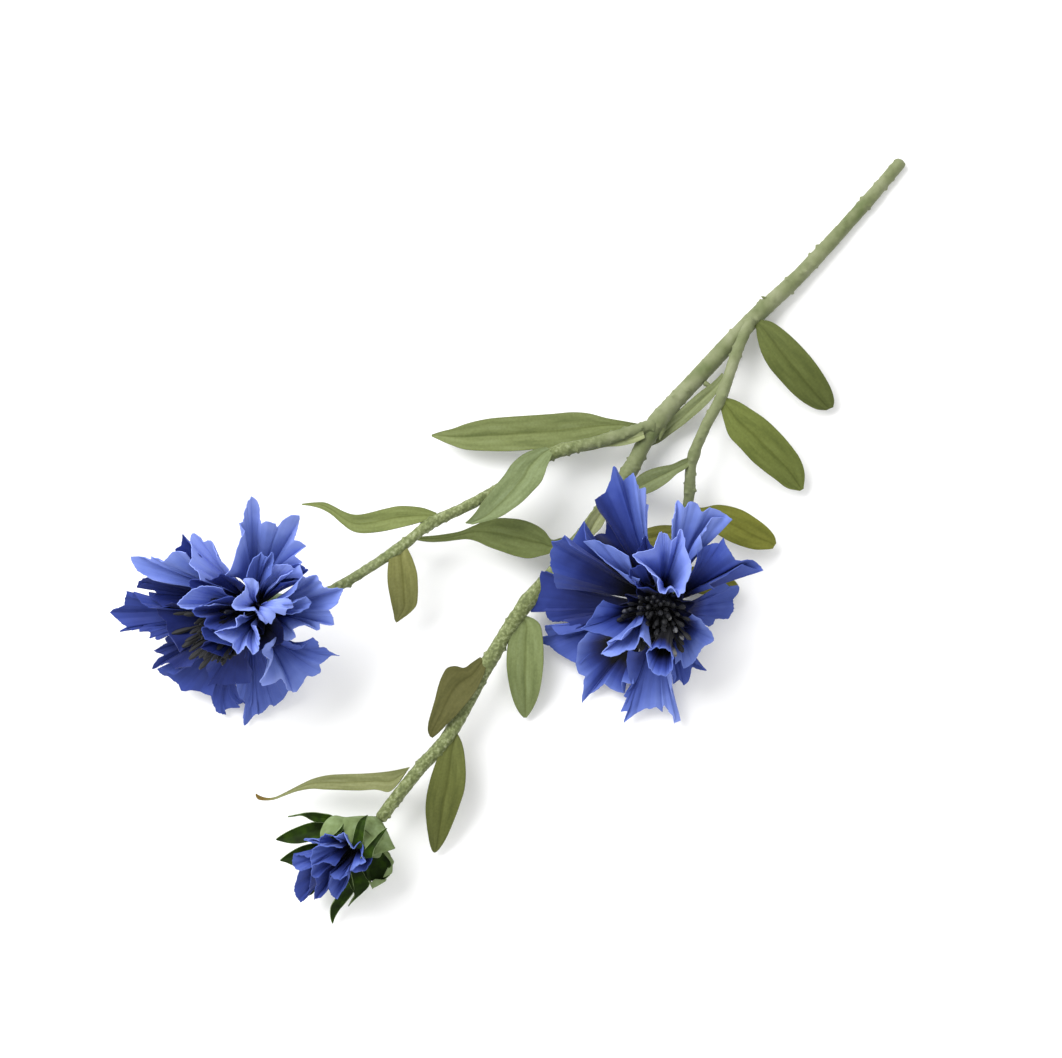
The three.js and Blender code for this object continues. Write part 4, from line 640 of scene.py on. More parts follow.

# ---------------------------------------------------------------- florets
# Each open bloom is a ring of florets cut from dyed satin cloth with lobed rims, pressed into open
# trumpets with pleats, and threaded on a button. The dye runs from near black at the foot to blue.
# Painted shade darkens the florets, and the sides of florets, that lie in shade.

FLORET_CLOTH = 0.24
CLAW_WIDTH = 3.4  # mm across a floret's foot
BUTTON_RADIUS, BUTTON_HEIGHT = 5.2, 3.4
GAP = 0.3  # mm between the button and what stands against it
COLLAR = [(-0.6, 4.6), (3.4, 10.0)]  # distance along the axis and radius, at its foot and its rim
CORNER = 0.22  # how round the corners of a rim are
RIM_STEPS = 4  # faces between two points of a rim
FLORET_ROWS = 18  # faces from foot to rim
KEEL = 0.06  # a lobe lifts by this share of how far it reaches past the rim's smoothed line
DARK_REACH = 2.1  # radii of the button's ring, from its middle, that the dye stays black
DYE_FADE = 6  # mm over which the dye then comes up
RIPPLE = 0.6  # mm that the cloth ripples
FRAY = 0.2  # mm the cut edge is frayed in and out
DYE_DRIFT = 0.22  # how unevenly the dye has run
DYE_CLOUDS, THREADS = 150.0, 2400.0  # to a metre: uneven dye 7 mm apart, and threads 0.4 mm apart

# Each floret's rim in mm, clockwise. The points were picked by eye, and a separate script turned
# them into mm and printed these lists, as it did for the leaves and the bud. The points of the
# stems were turned into mm in the same way.
# Each floret's tone is partly its dye and partly painted shade, darker where the floret lies in the
# shade of others. deep darkens it towards its foot: this is the dye's own run, deepened on some
# florets as painted shade.
RIGHT_BLOOM = dict(
    name="right", button=(-6, 45.7, 17.3), faces=(0.52, 0.16, 0.84), seed=11,
    florets=[
        dict(tone_and_shade=0.8, deep=0.5, depth=2, rise=0.3, painted_side_shade=0.6, rim=[
            (-9, 16, 21), (-12, 17, 21), (-13, 18.5, 22), (-16, 16.5, 24), (-17, 13, 28),
            (-19, 9.5, 32), (-21, 10, 29), (-23.5, 10.5, 27), (-27.5, 9, 28), (-30.5, 7.5, 30),
            (-29.5, 10, 28), (-29, 12.5, 26), (-31, 13, 28), (-32.5, 13.5, 31), (-31, 16, 30),
            (-30, 18, 28), (-31.5, 19, 28), (-29.5, 20.5, 26), (-27.5, 21.5, 25), (-28, 23, 25),
            (-25.5, 23.5, 24), (-23.5, 24.5, 23), (-19.5, 28.5, 21),
        ]),
        dict(tone_and_shade=0.6, deep=0.8, depth=0, rise=0.3, pinch=0.45, rim=[
            (-4, 12.5, 40), (-5, 9, 38), (-3.5, 9, 37), (-2.5, 8.5, 36), (-1, 7, 34), (0, 8.5, 33),
            (2, 9, 32), (3.5, 10.5, 31), (5, 11.5, 31), (6, 13.5, 30), (8, 15.5, 27), (9, 17.5, 24),
            (5.5, 15.5, 20), (0, 12.5, 20), (-5, 12, 22), (-8.5, 11.5, 24), (-12, 11, 26),
            (-10, 13, 28), (-8, 15, 30),
        ]),
        dict(tone_and_shade=0.42, deep=0.3, depth=3, rise=0.2, rim=[
            (16, 29.5, 10), (18, 28.5, 9), (15, 27.5, 10), (16.5, 24.5, 9), (18, 23, 9),
            (18, 21, 9), (17, 19.5, 10), (16, 19, 10), (18, 18, 10), (20, 16, 9), (17, 15, 10),
            (15, 14.5, 11), (12.5, 14, 12), (10, 11.5, 13), (8, 10.5, 14), (7, 12, 15),
            (6.5, 14, 16), (8, 17, 17),
        ]),
        dict(tone_and_shade=0.75, deep=0.9, depth=3, rise=0.5, rim=[
            (8.5, 42.5, 28), (10, 39.5, 29), (11.5, 36, 30), (13, 33, 30), (14, 30.5, 31),
            (12.5, 31, 30), (10, 31, 29), (6, 30.5, 27), (3, 30.5, 26),
        ]),
        dict(tone_and_shade=0.65, deep=0.3, depth=3, rise=0.1, rim=[
            (23, 38, 6), (24, 35, 5), (24.5, 32, 5), (24.5, 29.5, 5), (24.5, 27, 5),
            (25.5, 24.5, 4), (26.5, 21.5, 4), (24.5, 23, 5), (22.5, 25, 6), (21.5, 23, 7),
            (20.5, 22, 9), (19.5, 23.5, 9), (20, 27, 10), (17.5, 29, 11),
        ]),
        dict(tone_and_shade=0.85, deep=2.2, depth=7, rise=0.2, rim=[
            (17, 54.5, 8), (18, 53.5, 7), (19, 51.5, 6), (20.5, 52.5, 5), (21.5, 54, 4),
            (22.5, 52, 4), (23, 50, 4), (23, 47.5, 5), (25, 47, 4), (27.5, 46.5, 3), (29.5, 46, 3),
            (32, 46, 2), (30, 44.5, 3), (27.5, 43, 4), (25, 41.5, 5), (25.5, 39.5, 5), (24, 37, 6),
            (21.5, 35.5, 8), (18.5, 33.5, 12), (16.5, 33.5, 14), (13.5, 33.5, 16),
        ]),
        dict(tone_and_shade=0.85, deep=0.7, depth=4, rise=0, painted_side_shade=-0.25, rim=[
            (1.5, 57.5, 14), (6.5, 61, 10), (11.5, 65, 7), (14, 68, 5), (16.5, 71.5, 4),
            (17, 73, 4), (19, 72, 4), (17.5, 71, 5), (17, 68, 5), (16.5, 66, 6), (18.5, 67, 5),
            (18.5, 64.5, 6), (20, 63.5, 5), (21.5, 62, 5), (24, 61, 4), (26, 60.5, 4),
            (28.5, 60, 3), (27, 59, 4), (25, 58.5, 5), (26.5, 57, 4), (24, 56.5, 5), (22, 56, 5),
            (22, 54.5, 5), (18.5, 54.5, 7), (16, 51.5, 10), (13, 48, 14), (9.5, 46, 18),
        ]),
        dict(tone_and_shade=0.95, deep=0.4, depth=1, rise=0.9, throat=(2, 45, 32), rim=[
            (5, 50.5, 38), (4.5, 47.5, 39), (4.5, 45.5, 39), (7, 46.5, 37), (9, 46.5, 36),
            (10.5, 45, 36), (13, 44, 36), (15, 42.5, 36), (16, 40, 35), (14, 40, 35),
            (12.5, 40, 36), (12, 39, 36), (10, 40.5, 37), (9, 42, 37), (7, 41.5, 38), (4, 42, 39),
            (1.5, 43.5, 37),
        ]),
        dict(tone_and_shade=0.8, deep=2.2, depth=0, rise=1, throat=(1.5, 52, 34), pinch=0.5, rim=[
            (7.5, 50.5, 38), (9, 52, 39), (10, 53.5, 40), (10.5, 55, 40), (10.5, 56.5, 41),
            (9.5, 57.5, 41), (9, 59, 41), (7.5, 59, 40), (6, 59, 40), (4, 57.5, 39),
            (2.5, 55.5, 39), (2.5, 53.5, 40), (3.5, 52.5, 40), (4, 51, 39), (6, 50.5, 38),
            (7.5, 50.5, 38),
        ]),
        dict(tone_and_shade=0.88, deep=0.5, depth=2, rise=0.3, rim=[
            (4.5, 60, 19), (2.5, 60.5, 20), (3.5, 63, 19), (1, 64, 19), (-0.5, 64, 20),
            (-3, 63.5, 21), (-5.5, 63.5, 22), (-8.5, 64.5, 22), (-10, 62, 23), (-10.5, 59.5, 24),
            (-11, 57, 26), (-10.5, 54, 28),
        ]),
        dict(tone_and_shade=0.65, deep=0.5, depth=2, rise=0.1, rim=[
            (7.5, 61.5, 13), (7.5, 63, 13), (9.5, 64, 10), (7.5, 64.5, 11), (8, 66.5, 10),
            (6.5, 67, 11), (4, 66, 13), (2, 65, 14), (1, 67.5, 14), (0, 69, 14), (0, 67, 15),
            (0.5, 65, 15), (-0.5, 62, 16),
        ]),
        dict(tone_and_shade=0.7, deep=0.4, depth=3, rise=0, rim=[
            (-9.5, 57.5, 10), (-10.5, 59.5, 9), (-11, 61.5, 7), (-12.5, 62, 8), (-14, 61.5, 9),
            (-15.5, 63, 8), (-17, 64.5, 8), (-18.5, 64.5, 8), (-20, 64, 8), (-21, 63, 9),
            (-22, 62, 9), (-23, 62, 9), (-24.5, 62, 9), (-26.5, 61, 10), (-25.5, 59.5, 11),
            (-24.5, 58.5, 11), (-24.5, 55.5, 12),
        ]),
        dict(tone_and_shade=0.65, deep=0.6, depth=6, rise=0.3, rim=[
            (-21, 54.5, 24), (-21, 52.5, 25), (-22, 53, 25), (-25, 54.5, 24), (-26.5, 55, 24),
            (-30, 55.5, 24), (-32, 56.5, 24), (-32.5, 59, 23), (-33.5, 61.5, 22), (-34.5, 63, 22),
            (-35, 61, 22), (-35, 58.5, 23), (-34, 57, 24), (-32.5, 56, 25), (-31.5, 54, 25),
            (-32.5, 51.5, 26), (-33, 50, 26), (-33.5, 48.5, 26), (-34.5, 47, 26), (-32.5, 47, 25),
            (-31, 45.5, 24), (-28.5, 44, 24), (-27, 43, 26),
        ]),
        dict(tone_and_shade=0.95, deep=0.6, depth=4, rise=0.4, rim=[
            (-28, 44, 25), (-29.5, 42.5, 26), (-31, 41, 26), (-33, 41.5, 26), (-34.5, 40.5, 26),
            (-37, 40.5, 26), (-38.5, 42, 25), (-39.5, 43.5, 24), (-40.5, 45.5, 24),
            (-40.5, 43.5, 24), (-40, 40.5, 25), (-39, 38, 26), (-36.5, 37, 27), (-37.5, 34.5, 28),
            (-37, 33, 29), (-36, 32, 29), (-34, 32, 29), (-34.5, 30.5, 30), (-34.5, 29, 30),
            (-32, 30.5, 30), (-29, 31.5, 30), (-26.5, 33, 30),
        ]),
        dict(tone_and_shade=1.05, deep=0.6, depth=0, rise=1, throat=(-17, 41, 31), pinch=0.35, rim=[
            (-13, 28.5, 40), (-15, 29.5, 40), (-17, 31.5, 39), (-19, 32.5, 38), (-21, 31.5, 38),
            (-23.5, 30.5, 39), (-24, 31.5, 38), (-24.5, 33, 38), (-23.5, 35, 37), (-26, 35.5, 38),
            (-28, 35, 38), (-26.5, 37.5, 38), (-24.5, 39.5, 39), (-22.5, 43, 40), (-20, 45, 42),
            (-16.5, 46, 43), (-14, 47.5, 43), (-13, 47, 43), (-11.5, 47, 42), (-12.5, 45, 43),
            (-12.5, 43.5, 44), (-11.5, 43, 43), (-10, 43, 43), (-9.5, 41.5, 43), (-11, 39.5, 44),
            (-12.5, 38.5, 44), (-12.5, 36, 42), (-13, 33.5, 41), (-12.5, 31, 40), (-13, 28.5, 40),
        ]),
        dict(tone_and_shade=0.5, deep=0.3, depth=2, rise=0.6, rim=[
            (-9.5, 42, 28), (-8.5, 38.5, 30), (-6.5, 36, 31), (-7, 34, 31), (-7.5, 32, 31),
            (-9.5, 31, 31), (-11, 31.5, 32), (-13.5, 33, 32),
        ]),
        dict(tone_and_shade=0.9, deep=0.3, depth=1, rise=0.5, rim=[
            (-9, 35, 30), (-7, 30.5, 30), (-6.5, 26, 30), (-6.5, 21.5, 30), (-7, 18, 30),
            (-7, 14.5, 31), (-9, 16.5, 31), (-10, 18.5, 31), (-10.5, 20.5, 31), (-11.5, 24.5, 32),
            (-12, 28, 33),
        ]),
        dict(tone_and_shade=0.4, deep=0.3, depth=2, rise=0.6, rim=[
            (-13.5, 30, 28), (-16, 29, 28), (-18, 28.5, 28), (-20, 28, 28), (-20, 29, 28),
            (-19, 31, 28), (-19, 33, 28), (-21, 34, 28),
        ]),
    ],
)
LEFT_BLOOM = dict(
    name="left", button=(72.7, -50.2, 26.6), faces=(0.66, -0.5, 0.56), seed=29,
    florets=[
        dict(tone_and_shade=1, deep=0.6, depth=5, rise=0.1, rim=[
            (69, -62.5, 42), (65.5, -62, 43), (60.5, -64, 44), (56, -65.5, 45), (54, -66, 46),
            (53, -68.5, 46), (52, -68, 46), (50, -69, 47), (47.5, -70, 48), (46, -70.5, 49),
            (44.5, -70.5, 49), (44.5, -68.5, 48), (45.5, -67, 47), (47, -65.5, 46), (49, -63.5, 45),
            (48, -63, 46), (47, -62, 47), (46.5, -60, 46), (47, -59, 44), (44.5, -59, 46),
            (41.5, -58, 47), (40, -56, 46), (42, -55, 44), (45.5, -53.5, 43), (47, -53, 42),
            (46, -51.5, 42), (46, -49, 41), (48, -49.5, 41), (50.5, -50, 41), (50.5, -47, 40),
            (51.5, -47, 40), (53, -45, 40), (54.5, -43.5, 39),
        ]),
        dict(tone_and_shade=0.8, deep=0.3, depth=2, rise=0.5, rim=[
            (64, -56.5, 46), (61, -58, 46), (58, -58.5, 46), (55.5, -58, 46), (56, -56.5, 46),
            (56, -55.5, 46), (53.5, -55.5, 46), (54.5, -54, 45), (56.5, -53, 45), (59, -51.5, 45),
        ]),
        dict(tone_and_shade=1, deep=0.2, depth=1, rise=0.3, rim=[
            (58, -53.5, 44), (57, -53, 44), (55, -51.5, 44), (53.5, -49.5, 44), (53.5, -47.5, 43),
            (55.5, -48, 43), (57.5, -49, 43), (60, -49, 43),
        ]),
        dict(tone_and_shade=0.65, deep=0.3, depth=1, rise=0.2, rim=[
            (53.5, -49, 41), (51.5, -47, 40), (51.5, -45, 39), (51.5, -44, 38), (53.5, -44.5, 39),
            (54.5, -43.5, 39), (57, -46, 40), (59.5, -48, 41),
        ]),
        dict(tone_and_shade=0.5, deep=0.3, depth=2, rise=0.1, rim=[
            (72.5, -77, 38), (71.5, -79, 38), (69.5, -78.5, 39), (68, -79, 40), (66.5, -80, 41),
            (67, -78, 41), (67, -76.5, 42), (67.5, -75, 43), (68, -72, 44),
        ]),
        dict(tone_and_shade=1.1, deep=0.2, depth=-2, rise=0.4, rim=[
            (73.5, -67, 47), (72, -69, 47), (72, -70.5, 47), (71.5, -72.5, 46), (69.5, -73, 46),
            (67.5, -75, 45), (66.5, -76.5, 44), (65, -77.5, 44), (64, -77.5, 44), (63.5, -75, 44),
            (64, -73.5, 44), (62.5, -72, 45), (63.5, -70.5, 45), (64, -69, 45), (65, -67.5, 45),
            (65.5, -65.5, 44), (66, -62.5, 43),
        ]),
        dict(tone_and_shade=0.97, deep=0.35, depth=-1.5, rise=0.2, rim=[
            (82, -77, 40), (83, -80, 40), (83.5, -83, 40), (83, -85.5, 40), (81.5, -88, 40),
            (80, -86.5, 40), (79, -84.5, 41), (79, -82.5, 41), (77.5, -83, 41), (76.5, -81, 42),
            (76.5, -79.5, 42), (75, -79, 43), (72.5, -79, 43), (71, -77.5, 43), (70, -75.5, 44),
        ]),
        dict(tone_and_shade=0.4, deep=0.4, depth=3, rise=0.1, rim=[
            (88, -71.5, 30), (88, -74, 29), (88.5, -76.5, 28), (87.5, -78, 27), (87, -76.5, 27),
            (86, -76, 28), (85.5, -78, 28), (84.5, -79, 29), (85.5, -80, 30), (86.5, -81, 30),
            (88.5, -81.5, 29), (86.5, -82, 30), (85, -81.5, 31), (83.5, -80, 32), (80.5, -77.5, 35),
        ]),
        dict(tone_and_shade=0.5, deep=0.2, depth=2, rise=0.1, rim=[
            (95, -61.5, 25), (94, -65, 24), (95, -66, 24), (96.5, -66.5, 23), (97.5, -67, 23),
            (97.5, -68, 23), (96.5, -68.5, 23), (97.5, -69, 23), (98.5, -69.5, 23), (97, -70, 23),
            (97, -70.5, 23), (98, -72, 22), (99, -73, 22), (98, -74, 22), (100, -75, 21),
            (100, -76, 21), (101, -76.5, 21), (103, -77.5, 20), (102.5, -78, 20), (100.5, -77, 21),
            (100.5, -79, 21), (100.5, -81, 20), (100, -84, 20), (98.5, -83.5, 21), (97, -82.5, 22),
            (95.5, -81.5, 23), (94, -82.5, 24), (92.5, -83, 25), (91.5, -83.5, 25), (92, -82, 25),
            (92, -81, 25), (90.5, -81.5, 26), (91, -79.5, 27), (91, -77.5, 28), (90.5, -75, 29),
            (88.5, -72.5, 30),
        ]),
        dict(tone_and_shade=0.3, deep=0.3, depth=3, rise=0.2, rim=[
            (95.5, -59, 30), (94.5, -61, 30), (93.5, -64.5, 29), (92.5, -66.5, 29),
            (90.5, -68.5, 29), (91, -71, 28), (89.5, -73, 28), (88, -72, 29), (85, -70, 32),
        ]),
        dict(tone_and_shade=0.4, deep=0.3, depth=2, rise=0, rim=[
            (97.5, -54.5, 20), (100, -56.5, 17), (101.5, -58, 15), (101, -60, 15), (103, -61.5, 14),
            (104.5, -62.5, 12), (106.5, -63.5, 11), (105, -64, 12), (102.5, -64, 13),
            (100.5, -63, 14), (101, -64.5, 13), (101.5, -65.5, 13), (101.5, -66.5, 12),
            (100, -66, 13), (98.5, -65.5, 14), (97, -64.5, 15), (96.5, -66, 15), (95.5, -66, 16),
            (94.5, -65, 17), (95.5, -61.5, 20),
        ]),
        dict(tone_and_shade=0.55, deep=0.3, depth=3, rise=0, rim=[
            (101.5, -44, 7), (102.5, -46, 6), (103, -48, 6), (104.5, -50.5, 7), (106.5, -52.5, 6),
            (105.5, -54.5, 7), (105.5, -56.5, 7), (105.5, -58.5, 8), (106, -59.5, 8), (106, -61, 9),
            (105.5, -62.5, 9), (104.5, -61, 10), (104.5, -59.5, 10), (103.5, -57, 11),
            (100.5, -56, 14),
        ]),
        dict(tone_and_shade=0.6, deep=0.3, depth=2, rise=0, throat=(99, -46.5, 8), pinch=0.1, rim=[
            (95.5, -34, 5), (97.5, -34.5, 4), (97.5, -35.5, 4), (98.5, -36, 4), (99, -37.5, 4),
            (99.5, -35.5, 3), (100.5, -36.5, 3), (102, -38, 3), (103, -38.5, 3), (104, -37.5, 2),
            (104.5, -38.5, 3), (105, -40, 3), (104, -42, 4), (103, -43.5, 5), (101, -45, 6),
        ]),
        dict(tone_and_shade=0.75, deep=0.4, depth=3, rise=0, rim=[
            (84.5, -27, 10), (87.5, -26.5, 8), (89, -26.5, 6), (91, -27, 5), (92.5, -27.5, 4),
            (92.5, -28.5, 5), (94.5, -29, 4), (96, -29, 4), (97.5, -29.5, 3), (97.5, -30, 4),
            (98.5, -30.5, 3), (100, -30.5, 2), (102, -30.5, 2), (103, -31, 2), (101, -32.5, 3),
            (99, -33, 4), (97, -33, 5), (95.5, -33.5, 6), (97, -34.5, 6), (96.5, -36, 8),
            (96.5, -37.5, 9), (95, -39, 12), (93.5, -40.5, 14),
        ]),
        dict(tone_and_shade=0.9, deep=0.55, depth=0, rise=0.2, painted_side_shade=0.3, throat=(77, -34, 30), pinch=0.2,
            rim=[
            (73, -39, 36), (72.5, -37, 35), (72, -35, 34), (72, -33.5, 33), (71, -32, 32),
            (71.5, -31, 31), (69, -31, 30), (66.5, -30.5, 30), (67, -28.5, 29), (68, -27.5, 28),
            (67, -26, 27), (67, -23.5, 26), (66.5, -21, 25), (68, -23, 25), (70.5, -23.5, 25),
            (72, -24, 26), (73.5, -22.5, 24), (74.5, -22.5, 24), (76.5, -23.5, 24), (77.5, -25, 24),
            (80, -24.5, 23), (83, -24.5, 22), (84, -25.5, 21), (84.5, -27, 23), (83, -28.5, 27),
            (82.5, -30.5, 30), (84.5, -31, 33), (87, -33, 35), (86.5, -34.5, 36), (84.5, -34.5, 38),
            (82, -35, 40), (79, -36, 42), (79, -38, 43), (78.5, -39.5, 43), (76.5, -40, 42),
            (75, -39.5, 40), (73, -39, 36),
        ]),
        dict(tone_and_shade=0.95, deep=0.6, depth=5, rise=0.1, rim=[
            (63, -44.5, 44), (61, -43.5, 45), (59, -43, 46), (57.5, -43, 46), (55.5, -44, 45),
            (53.5, -44, 44), (53.5, -43, 43), (52.5, -42.5, 42), (51, -41, 41), (51.5, -40, 41),
            (52, -38.5, 40), (52.5, -37.5, 40), (51.5, -35.5, 39), (50, -34, 38), (49, -32.5, 37),
            (50, -32, 37), (52, -31.5, 37), (53.5, -31, 37), (55.5, -31.5, 37), (57, -32, 37),
            (57.5, -31, 36), (58, -29.5, 36), (59.5, -28, 35), (60.5, -29.5, 35), (61.5, -32, 36),
            (63.5, -30.5, 35), (64, -32, 35), (64.5, -34, 36), (65.5, -35, 36), (67, -36, 36),
            (68, -36.5, 36), (68.5, -36, 35), (69.5, -34.5, 35), (71, -35, 35), (72, -36, 35),
            (72.5, -37.5, 35), (73, -39.5, 36),
        ]),
        dict(tone_and_shade=0.85, deep=0.1, depth=0, rise=0.5, rim=[
            (63.5, -43, 46), (61.5, -41.5, 45), (59.5, -40.5, 44), (58, -39.5, 43), (58, -37.5, 42),
            (60.5, -37, 42), (62.5, -38, 42), (64.5, -39.5, 42),
        ]),
        dict(tone_and_shade=1.15, deep=0.2, depth=-3, rise=1, throat=(69.5, -51, 48), pinch=0.2, rim=[
            (64.5, -51.5, 48), (63, -53, 49), (63, -54.5, 49), (63.5, -56, 50), (65, -57, 50),
            (66, -55, 51), (67, -54.5, 51), (68.5, -54.5, 51), (70, -55, 52), (71.5, -55, 52),
            (73, -54.5, 52), (73.5, -53, 52), (72.5, -51.5, 51), (71, -49.5, 50), (70, -48.5, 49),
            (70, -47, 48), (70.5, -45.5, 47), (71.5, -43.5, 46), (70.5, -43.5, 46),
            (70.5, -42.5, 45), (68, -43, 45), (66.5, -44, 45), (66, -42.5, 45), (66, -41, 44),
            (64, -41.5, 45), (63, -40.5, 44), (62.5, -40.5, 44), (61.5, -42, 44), (61.5, -43.5, 44),
            (63.5, -45, 43),
        ]),
        dict(tone_and_shade=0.97, deep=0.3, depth=2, rise=0.5, rim=[
            (76, -59, 50), (77.5, -60, 51), (79, -61.5, 52), (80.5, -62.5, 52), (82, -64.5, 52),
            (83, -66, 52), (83, -67.5, 52), (81, -67.5, 52), (79, -67, 51), (77, -66.5, 50),
            (74.5, -65, 49), (72.5, -63, 48), (71.5, -60, 46),
        ]),
        dict(tone_and_shade=0.45, deep=0.2, depth=2, rise=0.4, rim=[
            (77, -66, 45), (77, -68.5, 45), (75.5, -69.5, 45), (73.5, -67.5, 45), (72, -66, 45),
            (71.5, -64.5, 45), (69.5, -63.5, 45), (68, -63.5, 45), (67.5, -61.5, 44), (67, -59, 43),
            (67, -56, 42),
        ]),
        dict(tone_and_shade=0.55, deep=0.9, depth=8, rise=0.4, rim=[
            (77.5, -49.5, 49), (80, -52, 50), (81.5, -53.5, 51), (82.5, -55.5, 52),
            (82.5, -57.5, 52), (80.5, -58, 52), (81, -59.5, 53), (82, -61, 53), (81.5, -62.5, 53),
            (80, -62.5, 53), (78.5, -61.5, 52), (76.5, -60, 51), (75, -59.5, 50), (73, -58, 49),
            (71, -56.5, 48),
        ]),
        dict(tone_and_shade=1, deep=0.3, depth=2, rise=0.6, rim=[
            (73.5, -45.5, 50), (75, -43, 51), (76, -42, 51), (77.5, -41, 51), (78.5, -40, 51),
            (80, -40.5, 51), (80.5, -41, 51), (80, -42.5, 52), (79.5, -44, 52), (81, -44, 52),
            (83, -44, 52), (83, -45, 52), (82.5, -46.5, 53), (81.5, -47.5, 53), (82, -49, 53),
            (82.5, -50.5, 54), (82.5, -52.5, 54), (82.5, -53.5, 54), (81, -53, 54),
            (79.5, -51.5, 53), (77.5, -49.5, 52), (76.5, -50, 51), (75.5, -51.5, 50), (74, -51, 49),
            (73.5, -50, 49), (72.5, -50.5, 48),
        ]),
        dict(tone_and_shade=0.15, deep=0.2, depth=1, rise=0.5, rim=[
            (80, -40.5, 38), (78.5, -40, 38), (76, -38, 38), (72.5, -36.5, 38), (70, -39, 38),
            (68.5, -41.5, 38), (69, -45, 38), (70, -47, 38),
        ]),
        dict(tone_and_shade=0.55, deep=0.2, depth=1, rise=0.5, rim=[
            (83, -47.5, 44), (84, -50, 46), (85, -52.5, 47), (86, -54.5, 48), (85.5, -56, 48),
            (84.5, -57.5, 48), (83, -57, 48), (83, -55, 47),
        ]),
        dict(tone_and_shade=0.3, deep=0.2, depth=2, rise=0.4, rim=[
            (85.5, -46.5, 41), (87.5, -48, 41), (88, -49.5, 42), (88.5, -51, 42), (89, -53, 43),
            (89.5, -54.5, 43), (88, -54.5, 43), (86.5, -54, 43), (85, -52.5, 43), (83, -50.5, 42),
        ]),
        dict(tone_and_shade=0.45, deep=0.3, depth=2, rise=0.1, rim=[
            (87, -39, 17), (90.5, -37.5, 14), (93.5, -40.5, 14), (96, -43, 13), (97.5, -45.5, 13),
            (99.5, -47, 13), (97.5, -47.5, 14), (96.5, -49, 15), (95.5, -50.5, 17),
            (92.5, -51.5, 20),
        ]),
    ],
)


def bloom_ways(faces):
    """A bloom's axis, the direction across it nearest to +X, and the third."""
    axis = unit(faces)
    first = unit(np.array((1, 0, 0)) - axis * axis[0])
    return axis, first, np.cross(axis, first)


def softened(points, per_side):
    """A line drawn through points whose corners are only slightly rounded."""
    points = np.array(points, float)
    padded = np.vstack([points[0], points, points[-1]])
    f = np.linspace(0, 1, per_side, endpoint=False)[:, None]
    rows = []
    for a, b, c, d in zip(padded, padded[1:], padded[2:], padded[3:]):
        rows.append(curve(a, b, c, d, f, CORNER))
    return np.vstack(rows + [points[-1:]])


def rimmed_floret(
    name, ways, middle, ring, rim, tone_and_shade, deep, depth, rise, throat=None, pinch=0.3, painted_side_shade=0,
    seed=0
):
    """A floret whose cloth runs from a narrow foot on the button, by its throat, to its rim."""
    axis = ways[0]
    rim = softened(rim, RIM_STEPS)
    mid_rim = rim.mean(axis=0)
    frays = draws(seed + 500)
    fray = np.array([[FRAY * (2 * next(frays) - 1)] for _ in rim[1:-1]])
    rim[1:-1] = rim[1:-1] + fray * unit(rim[1:-1] - mid_rim)
    reach = mid_rim - middle
    outward = unit(reach - axis * (reach @ axis))
    foot = middle + outward * ring
    if throat is None:
        way = unit(unit(mid_rim - foot) + rise * axis)
        throat = foot + way * 0.5 * np.linalg.norm(mid_rim - foot)
    throat = np.array(throat, float)
    tube = unit(throat - foot)
    aside = rim - throat
    aside = aside - (aside @ tube)[:, None] * tube
    far = np.linalg.norm(aside, axis=1, keepdims=True)
    v = np.linspace(-1, 1, len(rim))[:, None]
    feet = foot + aside / (far + 1.5) * CLAW_WIDTH / 2
    bends = throat + aside * pinch - np.array((0, 0, depth)) * (1 - v**2)
    s = np.linspace(0, 1, FLORET_ROWS + 1)[:, None, None]
    points = (1 - s) ** 2 * feet + 2 * s * (1 - s) * bends + s**2 * rim
    along = np.gradient(points, axis=0)
    across = np.gradient(points, axis=1)
    normal = np.cross(across, along)
    normal = normal / (np.linalg.norm(normal, axis=2, keepdims=True) + 1e-6)
    length = np.linalg.norm(rim - throat, axis=1)
    kernel = np.hanning(2 * RIM_STEPS * 3 + 1)
    kernel = kernel / kernel.sum()
    even = np.convolve(np.pad(length, 3 * RIM_STEPS, mode="edge"), kernel, mode="valid")
    keel = (length - even)[None, :, None] * s**2 * KEEL
    phase = seed * 3.7
    soft = np.array(
        [
            [
                noise.noise((a * 3.1, b * 4.3 + phase, phase)) * 0.9
                + noise.noise((a * 1.2, b * 15 + phase, 5 + phase)) * 0.22
                for b in v[:, 0]
            ]
            for a in s[:, 0, 0]
        ]
    )[..., None] * np.minimum(1, 2 * s)
    points = points + normal * (keel + soft * RIPPLE)
    piece = flat_grid(name, len(rim) - 1, FLORET_ROWS)
    place_points(piece, points)
    # The slant from one end of the rim to the other is painted light and shade: one side is painted
    # lighter and the other darker, as the lamp would light them. The lightness and the darkening
    # towards the foot are the dye together with painted shade.
    shade = tone_and_shade - deep * (1 - s[..., 0]) + painted_side_shade * v[:, 0]
    from_button = np.linalg.norm(points - middle, axis=2)
    lit = np.clip((from_button - DARK_REACH * ring) / DYE_FADE, 0.02, 1)
    mark_points(piece, "dye_and_painted_shade", shade * lit)
    return piece


def turned_solid(name, ways, middle, profile, sides):
    """A round solid about the bloom's axis; profile holds (height, radius) pairs."""
    axis, first, second = ways
    heights, radii = np.array(profile, float).T
    turn = np.linspace(0, 2 * math.pi, sides + 1)
    ringed = first * np.cos(turn)[:, None] + second * np.sin(turn)[:, None]
    points = middle + axis * heights[:, None, None] + ringed * radii[:, None, None]
    piece = flat_grid(name, sides, len(profile) - 1)
    place_points(piece, points)
    seal(piece)
    return piece


